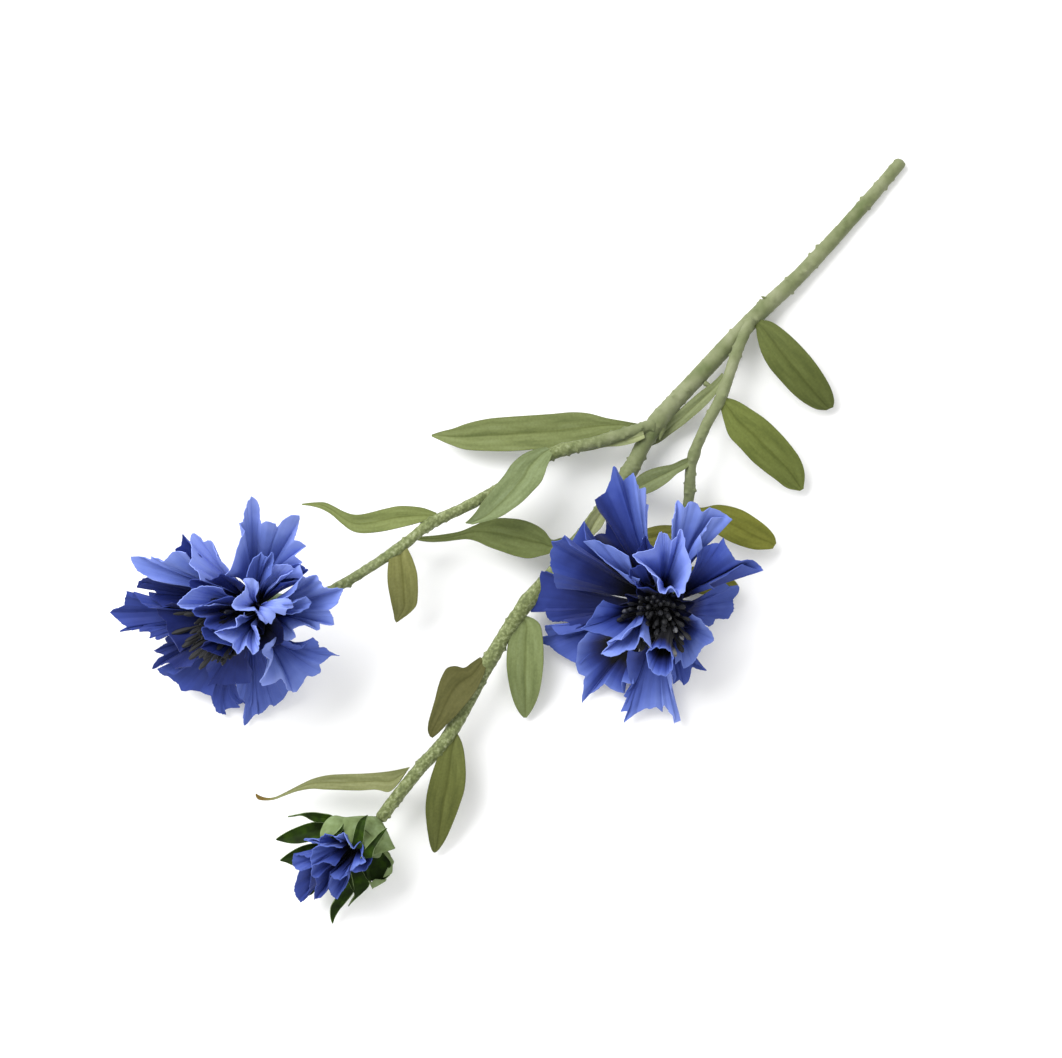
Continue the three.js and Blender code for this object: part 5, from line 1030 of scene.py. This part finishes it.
def collar(name, ways, middle, sides, rows):
    """The fringed ring of black tube florets between the button and the open ones."""
    axis, first, second = ways
    turn = np.linspace(0, 2 * math.pi, sides + 1)
    share = np.linspace(0, 1, rows + 1)[:, None]
    fringe = 1 + 0.13 * np.sin(turn * 17) + 0.1 * np.sin(turn * 5 + 1)
    radius = COLLAR[0][1] + (COLLAR[1][1] * fringe - COLLAR[0][1]) * share
    height = COLLAR[0][0] + (COLLAR[1][0] - COLLAR[0][0]) * share**1.6
    height = height + 0.5 * share * np.sin(turn * 11)
    ringed = first * np.cos(turn)[:, None] + second * np.sin(turn)[:, None]
    points = middle + axis * height[..., None] + ringed * radius[..., None]
    piece = flat_grid(name, sides, rows)
    place_points(piece, points)
    mark_points(piece, "dye_and_painted_shade", 0.16 * share**2 + 0 * turn)
    return piece


def button(name, ways, middle, radius, height):
    """The domed disc that the florets are threaded on."""
    levels = np.linspace(-1, 1, 9)
    profile = [(height / 2 * k, radius * math.sqrt(max(0.02, 1 - 0.98 * k * k))) for k in levels]
    piece = turned_solid(name, ways, middle, profile, 24)
    mark_points(piece, "dye_and_painted_shade", np.zeros(len(piece.data.vertices)))
    return piece


# Satin dyed from its foot, which leaves the foot black and the rims light, with painted shade laid
# over the dye where florets lie in shade: a faint sheen over fine threads, with paler and darker
# streaks. The dye's run, painted shade included, is 0 for black and 1 for the lightest blue.
satin = new_material("dyed polyester satin")
satin_spot = node(satin, "TexCoord").outputs["Object"]
dye_and_shade = node(satin, "Attribute", attribute_name="dye_and_painted_shade").outputs["Fac"]
cloud = node(
    satin, "TexNoise", {"Vector": satin_spot, "Scale": DYE_CLOUDS, "Detail": 2.0}
).outputs["Fac"]
dye_and_shade_run = node(satin, "Math", {0: cloud, 1: DYE_DRIFT, 2: dye_and_shade}, operation="MULTIPLY_ADD").outputs[0]
dye_and_shade_run = node(satin, "Math", {0: dye_and_shade_run, 1: DYE_DRIFT / 2}, operation="SUBTRACT").outputs[0]
satin_dye_and_shade_colour = node(
    satin, "ValToRGB", {"Fac": dye_and_shade_run},
    stops=[
        (0.0, "#05060b"), (0.15, "#0b1340"), (0.35, "#1c2866"), (0.55, "#344590"),
        (0.75, "#5164ae"), (0.9, "#6c80c8"), (1.0, "#8496dc"),
    ],
).outputs["Color"]
streak_way = node(
    satin, "Mapping", {"Vector": node(satin, "UVMap").outputs["UV"], "Scale": (30, 1.2, 1)}
)
streak = node(
    satin, "TexNoise", {"Vector": streak_way.outputs["Vector"], "Scale": 1.0, "Detail": 2.0}
)
streak_shade = node(
    satin, "ValToRGB", {"Fac": streak.outputs["Fac"]},
    stops=[(0.35, "#c4c4d4"), (0.5, "#ececf4"), (0.7, "#ffffff")],
).outputs["Color"]
satin_colour = node(
    satin, "Mix", {"Factor": 0.25, 6: satin_dye_and_shade_colour, 7: streak_shade},
    data_type="RGBA", blend_type="MULTIPLY",
).outputs[2]
weave = node(
    satin, "TexNoise", {"Vector": satin_spot, "Scale": THREADS, "Detail": 1.0}
).outputs["Fac"]
satin_bump = node(
    satin, "Bump", {"Height": weave, "Strength": 0.2, "Distance": 0.0002}
).outputs["Normal"]
satin_skin = node(
    satin, "BsdfPrincipled",
    {"Base Color": satin_colour, "Normal": satin_bump, "Roughness": 0.6, "Sheen Weight": 0.06},
)
satin_skin.inputs["Sheen Roughness"].default_value = 0.4
satin_skin.inputs["Specular IOR Level"].default_value = 0.18
node(satin, "OutputMaterial", {"Surface": satin_skin.outputs["BSDF"]})

for bloom in (LEFT_BLOOM, RIGHT_BLOOM):
    ways = bloom_ways(bloom["faces"])
    middle = np.array(bloom["button"])
    name = bloom["name"] + "_satin_florets"
    sheets = [
        rimmed_floret(name, ways, middle, BUTTON_RADIUS - 1, **spec, seed=k)
        for k, spec in enumerate(bloom["florets"])
    ]
    ring = join(name, sheets + [collar(name, ways, middle, 180, 8)])
    thicken(ring, FLORET_CLOTH)
    head = join(name, [ring, button(name, ways, middle, BUTTON_RADIUS, BUTTON_HEIGHT)])
    finish_piece(head, [satin], "floret_cloth", bloom["name"] + "_florets")

# ---------------------------------------------------------------- stamens
# A tuft of stiff black threads on a small head in the middle of each bloom, their tips dusted grey.

STAMENS = dict(
    right=dict(count=90, length=11.5, lean=46, way=(0.52, 0.16, 0.84), dusty=0.9),
    left=dict(count=90, length=20, lean=34, way=(0.74, -0.26, 0.62), dusty=0.35),
)
STAMEN_SPREAD = 3.4  # mm radius of the head that the threads spring from
GOLDEN_TURN = 2.4  # radians from one thread to the next, which spreads them evenly
STAMEN_HEAD = [(0, 3.4), (1.2, 3.6), (2.6, 3.0), (3.8, 1.6)]  # mm above its foot, and radius
THREAD = [(0, 0.36), (0.3, 0.3), (0.72, 0.36), (0.8, 0.66), (0.93, 0.7), (1, 0.28)]  # share, mm
THREAD_DUST = [0, 0, 0.2, 1.0, 1.5, 1.5]  # on each of these rings, against the middle of the tip
THREAD_SIDES = 6
DUST = 700.0  # specks to a metre, so 1.4 mm apart

# Stiffened black thread, which gives back hardly any light, with a grey powder on its thick tips.
black_thread = new_material("black stamen thread")
dust_spot = node(black_thread, "TexCoord").outputs["Object"]
dust = node(
    black_thread, "TexNoise", {"Vector": dust_spot, "Scale": DUST, "Detail": 2.0}
).outputs["Fac"]
tipped = node(black_thread, "Attribute", attribute_name="dusted").outputs["Fac"]
dust_amount = node(black_thread, "Math", {0: dust, 1: tipped}, operation="MULTIPLY").outputs[0]
thread_colour = node(
    black_thread, "ValToRGB", {"Fac": dust_amount},
    stops=[(0.0, "#07080c"), (0.38, "#101117"), (0.55, "#55565c"), (0.85, "#8a8a86")],
).outputs["Color"]
thread_skin = node(black_thread, "BsdfPrincipled", {"Base Color": thread_colour, "Roughness": 0.7})
node(black_thread, "OutputMaterial", {"Surface": thread_skin.outputs["BSDF"]})


def stamen_tuft(name, ways, middle, seed, count, length, lean, way, dusty):
    """A head with count threads, which lean apart by up to lean degrees from way."""
    axis, first, second = ways
    wild = draws(seed + 300)
    foot = BUTTON_HEIGHT / 2 + GAP
    tuft = turned_solid(name, ways, middle, [(foot + h, r) for h, r in STAMEN_HEAD], 16)
    mark_points(tuft, "dusted", np.zeros(len(tuft.data.vertices)))
    threads = [tuft]
    for k in range(count):
        turn = k * GOLDEN_TURN
        share = math.sqrt((k + 0.5) / count)
        tilt = math.radians(lean * share + 12 * next(wild) - 6)
        outward = first * math.cos(turn) + second * math.sin(turn)
        along = unit(unit(way) * math.cos(tilt) + outward * math.sin(tilt))
        side = unit(np.cross(along, second))
        other = np.cross(along, side)
        root = middle + axis * (foot + 0.6) + outward * 0.95 * STAMEN_SPREAD * share
        reach = length * (0.6 + 0.45 * next(wild))
        stout = 0.8 + 0.5 * next(wild)
        bend = 3.0 * (next(wild) - 0.5)
        turns = np.linspace(0, 2 * math.pi, THREAD_SIDES + 1)
        points = [
            root + along * (reach * t) + outward * (bend * t * t)
            + stout * radius * (side * np.cos(turns)[:, None] + other * np.sin(turns)[:, None])
            for t, radius in THREAD
        ]
        thread = flat_grid(name, THREAD_SIDES, len(THREAD) - 1)
        place_points(thread, points)
        grey = dusty * next(wild) ** 2
        mark_points(thread, "dusted", np.repeat(THREAD_DUST, THREAD_SIDES + 1) * grey)
        threads.append(thread)
    tuft = join(name, threads)
    seal(tuft)
    return tuft


for bloom in (LEFT_BLOOM, RIGHT_BLOOM):
    tuft = stamen_tuft(
        bloom["name"] + "_stamen_tuft", bloom_ways(bloom["faces"]), np.array(bloom["button"]),
        bloom["seed"], **STAMENS[bloom["name"]]
    )
    finish_piece(tuft, [black_thread], "stamen_thread", bloom["name"] + "_stamens")

# ---------------------------------------------------------------- calyxes
# An egg of moulded green plastic with rows of overlapping scales, which carries each bloom's
# button. The scales themselves aren't modelled: the plastic's mottled green stands for them.

CALYX_RADIUS, CALYX_LENGTH, CALYX_RINGS, CALYX_SIDES = 4.4, 11, 41, 48
CALYX_OUTLINE = [(0.0, 0.7), (0.15, 0.86), (0.5, 1.0), (0.85, 0.75), (1.0, 0.45)]  # shares of both
MOTTLING = 500.0  # patches to a metre, so 2 mm each

# Moulded polyethylene, a little waxy. The mottling stands for the shade between its scales.
green_plastic = new_material("moulded green polyethylene")
scale_spot = node(green_plastic, "TexCoord").outputs["Object"]
scale_cloud = node(
    green_plastic, "TexNoise", {"Vector": scale_spot, "Scale": MOTTLING, "Detail": 3.0}
)
scale_colour = node(
    green_plastic, "ValToRGB", {"Fac": scale_cloud.outputs["Fac"]},
    stops=[(0.35, "#2f4220"), (0.55, "#4c6334"), (0.75, "#6c8450")],
).outputs["Color"]
scale_skin = node(green_plastic, "BsdfPrincipled", {"Base Color": scale_colour, "Roughness": 0.45})
node(green_plastic, "OutputMaterial", {"Surface": scale_skin.outputs["BSDF"]})

for bloom in (LEFT_BLOOM, RIGHT_BLOOM):
    top = -BUTTON_HEIGHT / 2 - GAP
    shares = np.linspace(0, 1, CALYX_RINGS)
    radii = np.interp(shares, *np.array(CALYX_OUTLINE).T) * CALYX_RADIUS
    profile = [(top - CALYX_LENGTH * (1 - t), r) for t, r in zip(shares, radii[::-1])]
    egg = turned_solid(
        bloom["name"] + "_scaled_calyx", bloom_ways(bloom["faces"]), np.array(bloom["button"]),
        profile, CALYX_SIDES,
    )
    finish_piece(egg, [green_plastic], "calyx_green", bloom["name"] + "_calyx")

# ---------------------------------------------------------------- bud
# An opening bud: sixteen pointed sepals of cloth, dark inside and sage outside, round a small
# tuft of blue petals. Its cone is pushed on the end of the main stem.

BUD_JOINT = np.array((99.3, 19.9, 13.0))
BUD_WAYS = bloom_ways((0.87, -0.06, 0.48))
BUD_BUTTON, BUD_BUTTON_HEIGHT = 2.9, 3.0  # mm radius and height
BUD_CONE = [(0, 2.1), (2, 4.6), (5, 6.6), (8, 7.6)]  # mm from the joint along the axis, and radius
CONE_RINGS, CONE_SIDES = 17, 39
PETAL_SEEDS = 40  # the first petal's seed
SEPAL_CLOTH = 0.45
SEPAL_ROW = 0.6  # mm between rows of faces
SEPAL_FACES = 10  # faces across a sepal
SEPAL_RIB, SEPAL_RIB_WIDTH = 0.2, 0.8  # mm the midrib is pressed in, and mm that it fades over
PRINT_CLOUDS = 260.0  # to a metre, so 4 mm each
SEPAL_FEET = (0.5, 7)  # mm from the joint between which sepals spring from the axis
SEPALS = [  # pairs of points on the edges from foot to tip; belly is the middle's rise to the width
    dict(belly=0.12, edges=[
        (98.7, 17.9, 15, 99.4, 19.3, 16), (101.1, 14.5, 18, 101.9, 16.1, 20),
        (103.9, 11.1, 20, 105, 13.3, 23), (105.5, 8.2, 21, 106.9, 12.2, 24.5),
        (108.1, 7.2, 22.5, 109.6, 11.7, 25), (111.3, 7.9, 24, 111.8, 10, 25),
        (112.7, 8.9, 25, 112.6, 9.5, 25),
    ]),
    dict(belly=0.12, edges=[
        (99.6, 16.5, 17, 99.6, 19.5, 16.5), (102.9, 12.2, 20, 100.6, 15.8, 20),
        (104.7, 11, 22, 101.9, 15, 22), (106.3, 12.7, 24, 104.1, 15.4, 24),
        (107.6, 14.6, 25.5, 106.2, 16.4, 25.5), (108.5, 16.4, 26, 107.6, 17, 26),
        (109, 17.2, 26, 108.8, 17.4, 26),
    ]),
    dict(belly=0.12, edges=[
        (98.3, 18.4, 15, 98.6, 21, 14.5), (99.8, 16.6, 18, 99, 22.2, 17),
        (101.7, 17.3, 20.5, 99.6, 22.4, 20), (103.4, 18.4, 22.5, 101.8, 22.4, 22),
        (105.1, 19.5, 24, 103.9, 22.1, 24), (106.1, 20.4, 25, 105.7, 22, 25),
        (106.6, 21.4, 25.3, 106.5, 21.9, 25.3),
    ]),
    dict(belly=0.12, edges=[
        (98.8, 20.3, 14.5, 99.5, 22.4, 13.5), (99.2, 22.8, 17, 99.7, 23.9, 16),
        (101.9, 23.5, 20, 100.4, 25.6, 18), (104.4, 23.9, 22, 101.2, 27.6, 19.5),
        (107.1, 24.8, 23.5, 101.6, 28.8, 20.5),
    ]),
    dict(belly=-0.12, edges=[
        (110.8, 11.8, 24.5, 108.7, 13.3, 25), (108.6, 11.7, 25.5, 107.1, 12.9, 25.5),
        (106.7, 11.8, 26, 105.9, 12.4, 26), (105.1, 11.7, 26, 105.1, 11.9, 26),
    ]),
    dict(belly=-0.12, edges=[
        (109.5, 18.2, 25, 107.4, 20.8, 25), (107.1, 17, 26.5, 104.8, 19.4, 26.5),
        (104.9, 15.9, 27, 102.5, 17.9, 26.8), (102.8, 15.1, 26.5, 100.9, 17, 26.3),
        (101, 14.9, 25.5, 99.5, 16.3, 25.2), (98.9, 15.7, 23.8, 98.7, 16, 23.8),
    ]),
    dict(belly=-0.12, edges=[
        (110.2, 22.3, 24, 107.7, 24.8, 24.5), (107.4, 21.7, 25.5, 105.5, 24, 26),
        (105, 21.7, 26.3, 103, 23.6, 26.3), (102.3, 21.9, 25.8, 100.7, 23.4, 25.3),
        (100, 22.2, 24, 99, 23.2, 23.3), (98.3, 22.7, 22.3, 98.4, 23.1, 22),
    ]),
    dict(belly=-0.12, edges=[
        (108.9, 12.2, 18, 106.6, 11.1, 18), (109.3, 7.1, 19.5, 106, 7.6, 19),
        (110.4, 5.4, 20, 107.2, 5.1, 19.5), (111, 3.5, 20.2, 108.6, 2.7, 20),
        (111.3, 1.4, 20.2, 110.4, 0.7, 20), (112.1, -0.1, 20, 111.6, -0.3, 20),
        (113.4, -1.2, 19.5, 113.1, -1.5, 19.5), (114.8, -2.5, 19, 114.6, -2.7, 19),
    ]),
    dict(belly=-0.12, edges=[
        (112.2, 13.2, 16, 108, 10.6, 16), (114.1, 9.3, 17, 109.7, 6.5, 16.5),
        (116.8, 7.1, 17, 112.2, 3.8, 16.5), (119.2, 5.1, 16.5, 115.5, 1.7, 16),
        (121, 3, 15.5, 118.5, 0.2, 15.5), (122.1, 1, 15, 120.9, -0.7, 15),
        (123, -0.9, 14.5, 122.8, -1.2, 14.5),
    ]),
    dict(belly=-0.12, edges=[
        (118, 15.2, 13, 114.2, 13, 13), (122.5, 12.6, 13, 116.3, 9.2, 13),
        (124.8, 10.1, 12.5, 119.2, 6.7, 12.5), (126.2, 7.6, 12, 122.2, 5.2, 12),
        (126.8, 5.7, 11.5, 125, 4.3, 11.5), (127.6, 4.1, 11, 127.4, 3.8, 11),
    ]),
    dict(belly=-0.12, edges=[
        (118.5, 18.1, 9, 119.5, 15, 9), (123.9, 18.5, 8, 124.5, 13.8, 8),
        (128.1, 18.2, 7.5, 128.2, 15.2, 7.5), (129.9, 18.1, 7, 130.4, 16.4, 7),
        (131, 17.4, 7, 131.1, 17.1, 7),
    ]),
    dict(belly=-0.12, edges=[
        (115, 22.2, 11, 118.9, 19.6, 9), (118.8, 25.5, 9.5, 123.1, 23.4, 8),
        (120.9, 27.5, 8, 126.6, 24.5, 7), (125.3, 27.8, 6.5, 129.2, 25, 6),
        (128.8, 27.8, 5, 131.1, 26.1, 5), (131.4, 28.2, 4, 132.7, 27.6, 4),
        (133.3, 28.9, 3, 133.5, 28.7, 3),
    ]),
    dict(belly=-0.12, edges=[
        (112.8, 25.9, 11, 118, 23, 10), (114, 28.4, 10, 120.3, 25.7, 9),
        (116.8, 30.1, 8.5, 121.1, 27.3, 8), (119.6, 30, 7, 122, 28.5, 7),
        (122.8, 29.5, 6, 123.9, 28.8, 6), (125.9, 29.2, 5, 126, 29.2, 5),
    ]),
    dict(belly=-0.12, edges=[
        (105.8, 22.8, 14, 113.4, 24.9, 12), (104.5, 28, 13, 114.6, 26.6, 11),
        (105.9, 30.3, 12.5, 115.3, 28.7, 10.5), (107.5, 31.8, 12, 114.4, 30.3, 10),
        (109.1, 32.8, 11.5, 113, 31.6, 10.5), (110.3, 32.9, 11, 111.9, 32.6, 11),
    ]),
    dict(belly=0.12, edges=[
        (106.3, 30.5, 13.8, 105.3, 30, 13), (108.7, 31, 14, 106.8, 31.5, 13),
        (110.7, 31.5, 13.5, 108.6, 32.8, 12.5), (111.5, 31.7, 13.3, 109.4, 32.7, 12.5),
    ]),
    dict(belly=0.12, edges=[
        (115.8, 30.3, 10.5, 115.2, 28.7, 11.5), (115.8, 31.5, 10.5, 113.6, 30.1, 12),
        (114.2, 32.2, 11, 112.5, 31.7, 12), (112, 33, 11.5, 111.5, 33, 11.5),
    ]),
]
# As for the florets, each petal's tone and its darkening towards the foot are partly dye and partly
# painted shade.
PETALS = [
    dict(tone_and_shade=0.55, deep=0.5, depth=1, rise=0.2, rim=[
        (122.2, 12.9, 20), (125.1, 14.6, 17), (128.2, 16.1, 14), (130.6, 16.7, 12.5),
        (132.1, 17.1, 12), (133.4, 16.9, 11.5), (133.2, 15.6, 12), (132.2, 13.7, 13),
        (130.7, 12.4, 14), (128.2, 11.4, 16), (125.5, 10.5, 18),
    ]),
    dict(tone_and_shade=0.55, deep=0.6, depth=1, rise=0.3, rim=[
        (119.4, 17.9, 22), (121.7, 19.3, 20), (124.1, 20.2, 18), (126, 20.8, 16.5),
        (127.9, 20.7, 16), (129.3, 19.8, 15.5), (129.5, 19.3, 16), (127.1, 17.8, 17.5),
        (125.2, 17, 19), (123.6, 15.3, 21),
    ]),
    dict(tone_and_shade=0.65, deep=0.5, depth=1, rise=0.3, rim=[
        (115.4, 21.7, 23), (117.6, 23.2, 21), (120.2, 24.2, 19), (122.4, 24.6, 17.5),
        (125, 25.1, 16), (125.4, 24.2, 16), (125.3, 22.6, 17), (124.2, 20.9, 18), (122.4, 19.9, 20),
        (120.2, 18.9, 22),
    ]),
    dict(tone_and_shade=0.65, deep=0.5, depth=1, rise=0.2, rim=[
        (122.7, 12.2, 20), (125.1, 10.9, 19), (125.7, 9.3, 18), (125.3, 7.8, 18),
        (123.9, 6.6, 18.5), (122.4, 5.9, 19), (121.7, 7, 19.5), (120.9, 8.4, 20), (120.4, 10, 21),
    ]),
    dict(tone_and_shade=0.6, deep=0.5, depth=1, rise=0.4, rim=[
        (115.4, 10.1, 24), (113.6, 9.3, 25), (112, 9.1, 26), (110.7, 9.6, 26.5), (109.9, 11.3, 27),
        (109.6, 13.1, 27.5), (109.7, 14.7, 27.5),
    ]),
    dict(tone_and_shade=0.85, deep=0.5, depth=2, rise=0.5, rim=[
        (109.7, 12, 28), (108.3, 12.8, 28), (107, 13.7, 27.5), (107.7, 15.1, 28), (108.6, 17.4, 28),
        (108.9, 19.1, 27.5), (106.4, 19.4, 26.5), (107.3, 21.2, 26.5), (108.7, 22.2, 27),
        (109.5, 24.2, 26.5), (111.4, 23.4, 27), (113.1, 22.9, 27.5), (114.7, 22.3, 28),
    ]),
    dict(tone_and_shade=0.7, deep=0.5, depth=1, rise=0.2, rim=[
        (106.7, 24.1, 24), (108.5, 25.4, 23.5), (110.5, 25.9, 23), (112.9, 25.5, 22.5),
        (114.5, 24.1, 22.5), (115.3, 22.4, 23),
    ]),
    dict(tone_and_shade=0.75, deep=0.6, depth=2, rise=0.5, rim=[
        (110.9, 16, 28), (111.4, 14.2, 29), (112.9, 12.4, 29), (114.6, 10.5, 28), (116.7, 9.4, 27),
        (118.5, 10.1, 26.5), (120.3, 11.4, 26), (121.6, 12.8, 25),
    ]),
    dict(tone_and_shade=0.65, deep=0.7, depth=2, rise=0.5, rim=[
        (116.4, 18.1, 26), (116.7, 16.4, 27), (117.2, 14.5, 27), (119, 13.2, 26.5),
        (120.8, 12.7, 26), (122.7, 13.3, 25), (123.6, 14.8, 24), (122.9, 16.2, 24),
    ]),
    dict(tone_and_shade=0.8, deep=0.3, depth=0, rise=0.4, rim=[
        (113.9, 11.3, 25), (114.6, 9.5, 24.5), (115.8, 7.6, 24), (116.8, 5.7, 23.5),
        (116.2, 5.5, 23.5), (114.8, 7.3, 24), (113.5, 9.4, 25),
    ]),
    dict(tone_and_shade=0.7, deep=0.7, depth=1, rise=0.5, rim=[
        (120, 18.4, 23), (119.9, 20.4, 24), (119, 22, 24), (117.3, 22.1, 24.5), (115.2, 21.7, 25),
    ]),
]


def sepal(name, belly, edges):
    """A sepal that springs from the bud's axis and runs out between its two edges."""
    edges = np.array(edges)
    axis = BUD_WAYS[0]
    start = (edges[0, :3] + edges[0, 3:]) / 2 - BUD_JOINT
    root = BUD_JOINT + axis * np.clip(start @ axis, *SEPAL_FEET)
    half = (edges[0, :3] - edges[0, 3:]) / 4
    rows = eased(np.vstack([np.hstack([root + half, root - half]), edges]), SEPAL_ROW)
    v = np.linspace(-1, 1, SEPAL_FACES + 1)
    one, other = rows[:, None, :3], rows[:, None, 3:]
    width = np.linalg.norm(other - one, axis=2)
    rib = np.exp(-((v * width / SEPAL_RIB_WIDTH) ** 2))
    lift = belly * width * (1 - v**2) - SEPAL_RIB * rib * (width / width.max())
    points = one + (other - one) * ((v + 1) / 2)[:, None]
    points[..., 2] += lift
    piece = flat_grid(name, SEPAL_FACES, len(rows) - 1)
    place_points(piece, points)
    return piece


# Printed cloth, dull on both sides: nearly black green inside, and a cloudy sage outside.
def sepal_material(name, deep, middle, pale, roughness):
    material = new_material(name)
    spot = node(material, "TexCoord").outputs["Object"]
    cloud = node(
        material, "TexNoise", {"Vector": spot, "Scale": PRINT_CLOUDS, "Detail": 3.0}
    ).outputs["Fac"]
    colour = node(
        material, "ValToRGB", {"Fac": cloud}, stops=[(0.3, deep), (0.5, middle), (0.72, pale)]
    ).outputs["Color"]
    skin = node(material, "BsdfPrincipled", {"Base Color": colour, "Roughness": roughness})
    skin.inputs["Specular IOR Level"].default_value = 0.12
    node(material, "OutputMaterial", {"Surface": skin.outputs["BSDF"]})
    return material


sepal_inside = sepal_material("dark printed sepal cloth", "#0f1a00", "#1a2c01", "#2c4402", 0.7)
sepal_outside = sepal_material("sage sepal cloth", "#5a683f", "#6b7b50", "#7e8f66", 0.8)

sepals = join("bud_cloth_sepals", [sepal("bud_cloth_sepals", **spec) for spec in SEPALS])
for side_material in (sepal_inside, sepal_outside):
    sepals.data.materials.append(side_material)
thicken(sepals, SEPAL_CLOTH, material_offset=1, material_offset_rim=1)
finish_piece(sepals, [], "sepal_cloth", "bud_sepals")
cone_top = BUD_CONE[-1][0]
cone_heights = np.linspace(0, cone_top, CONE_RINGS)
cone = turned_solid(
    "bud_cone", BUD_WAYS, BUD_JOINT,
    list(zip(cone_heights, np.interp(cone_heights, *np.array(BUD_CONE).T))), CONE_SIDES,
)
finish_piece(cone, [sepal_outside], "sepal_cloth", "bud_sepals")

bud_middle = BUD_JOINT + BUD_WAYS[0] * (cone_top + GAP + BUD_BUTTON_HEIGHT / 2)
petals = join(
    "bud_satin_petals",
    [
        rimmed_floret("bud_satin_petals", BUD_WAYS, bud_middle, BUD_BUTTON - 1, **spec, seed=seed)
        for seed, spec in enumerate(PETALS, PETAL_SEEDS)
    ],
)
thicken(petals, FLORET_CLOTH)
bud_button = button("bud_button", BUD_WAYS, bud_middle, BUD_BUTTON, BUD_BUTTON_HEIGHT)
petals = join("bud_satin_petals", [petals, bud_button])
finish_piece(petals, [satin], "floret_cloth", "bud_petals")
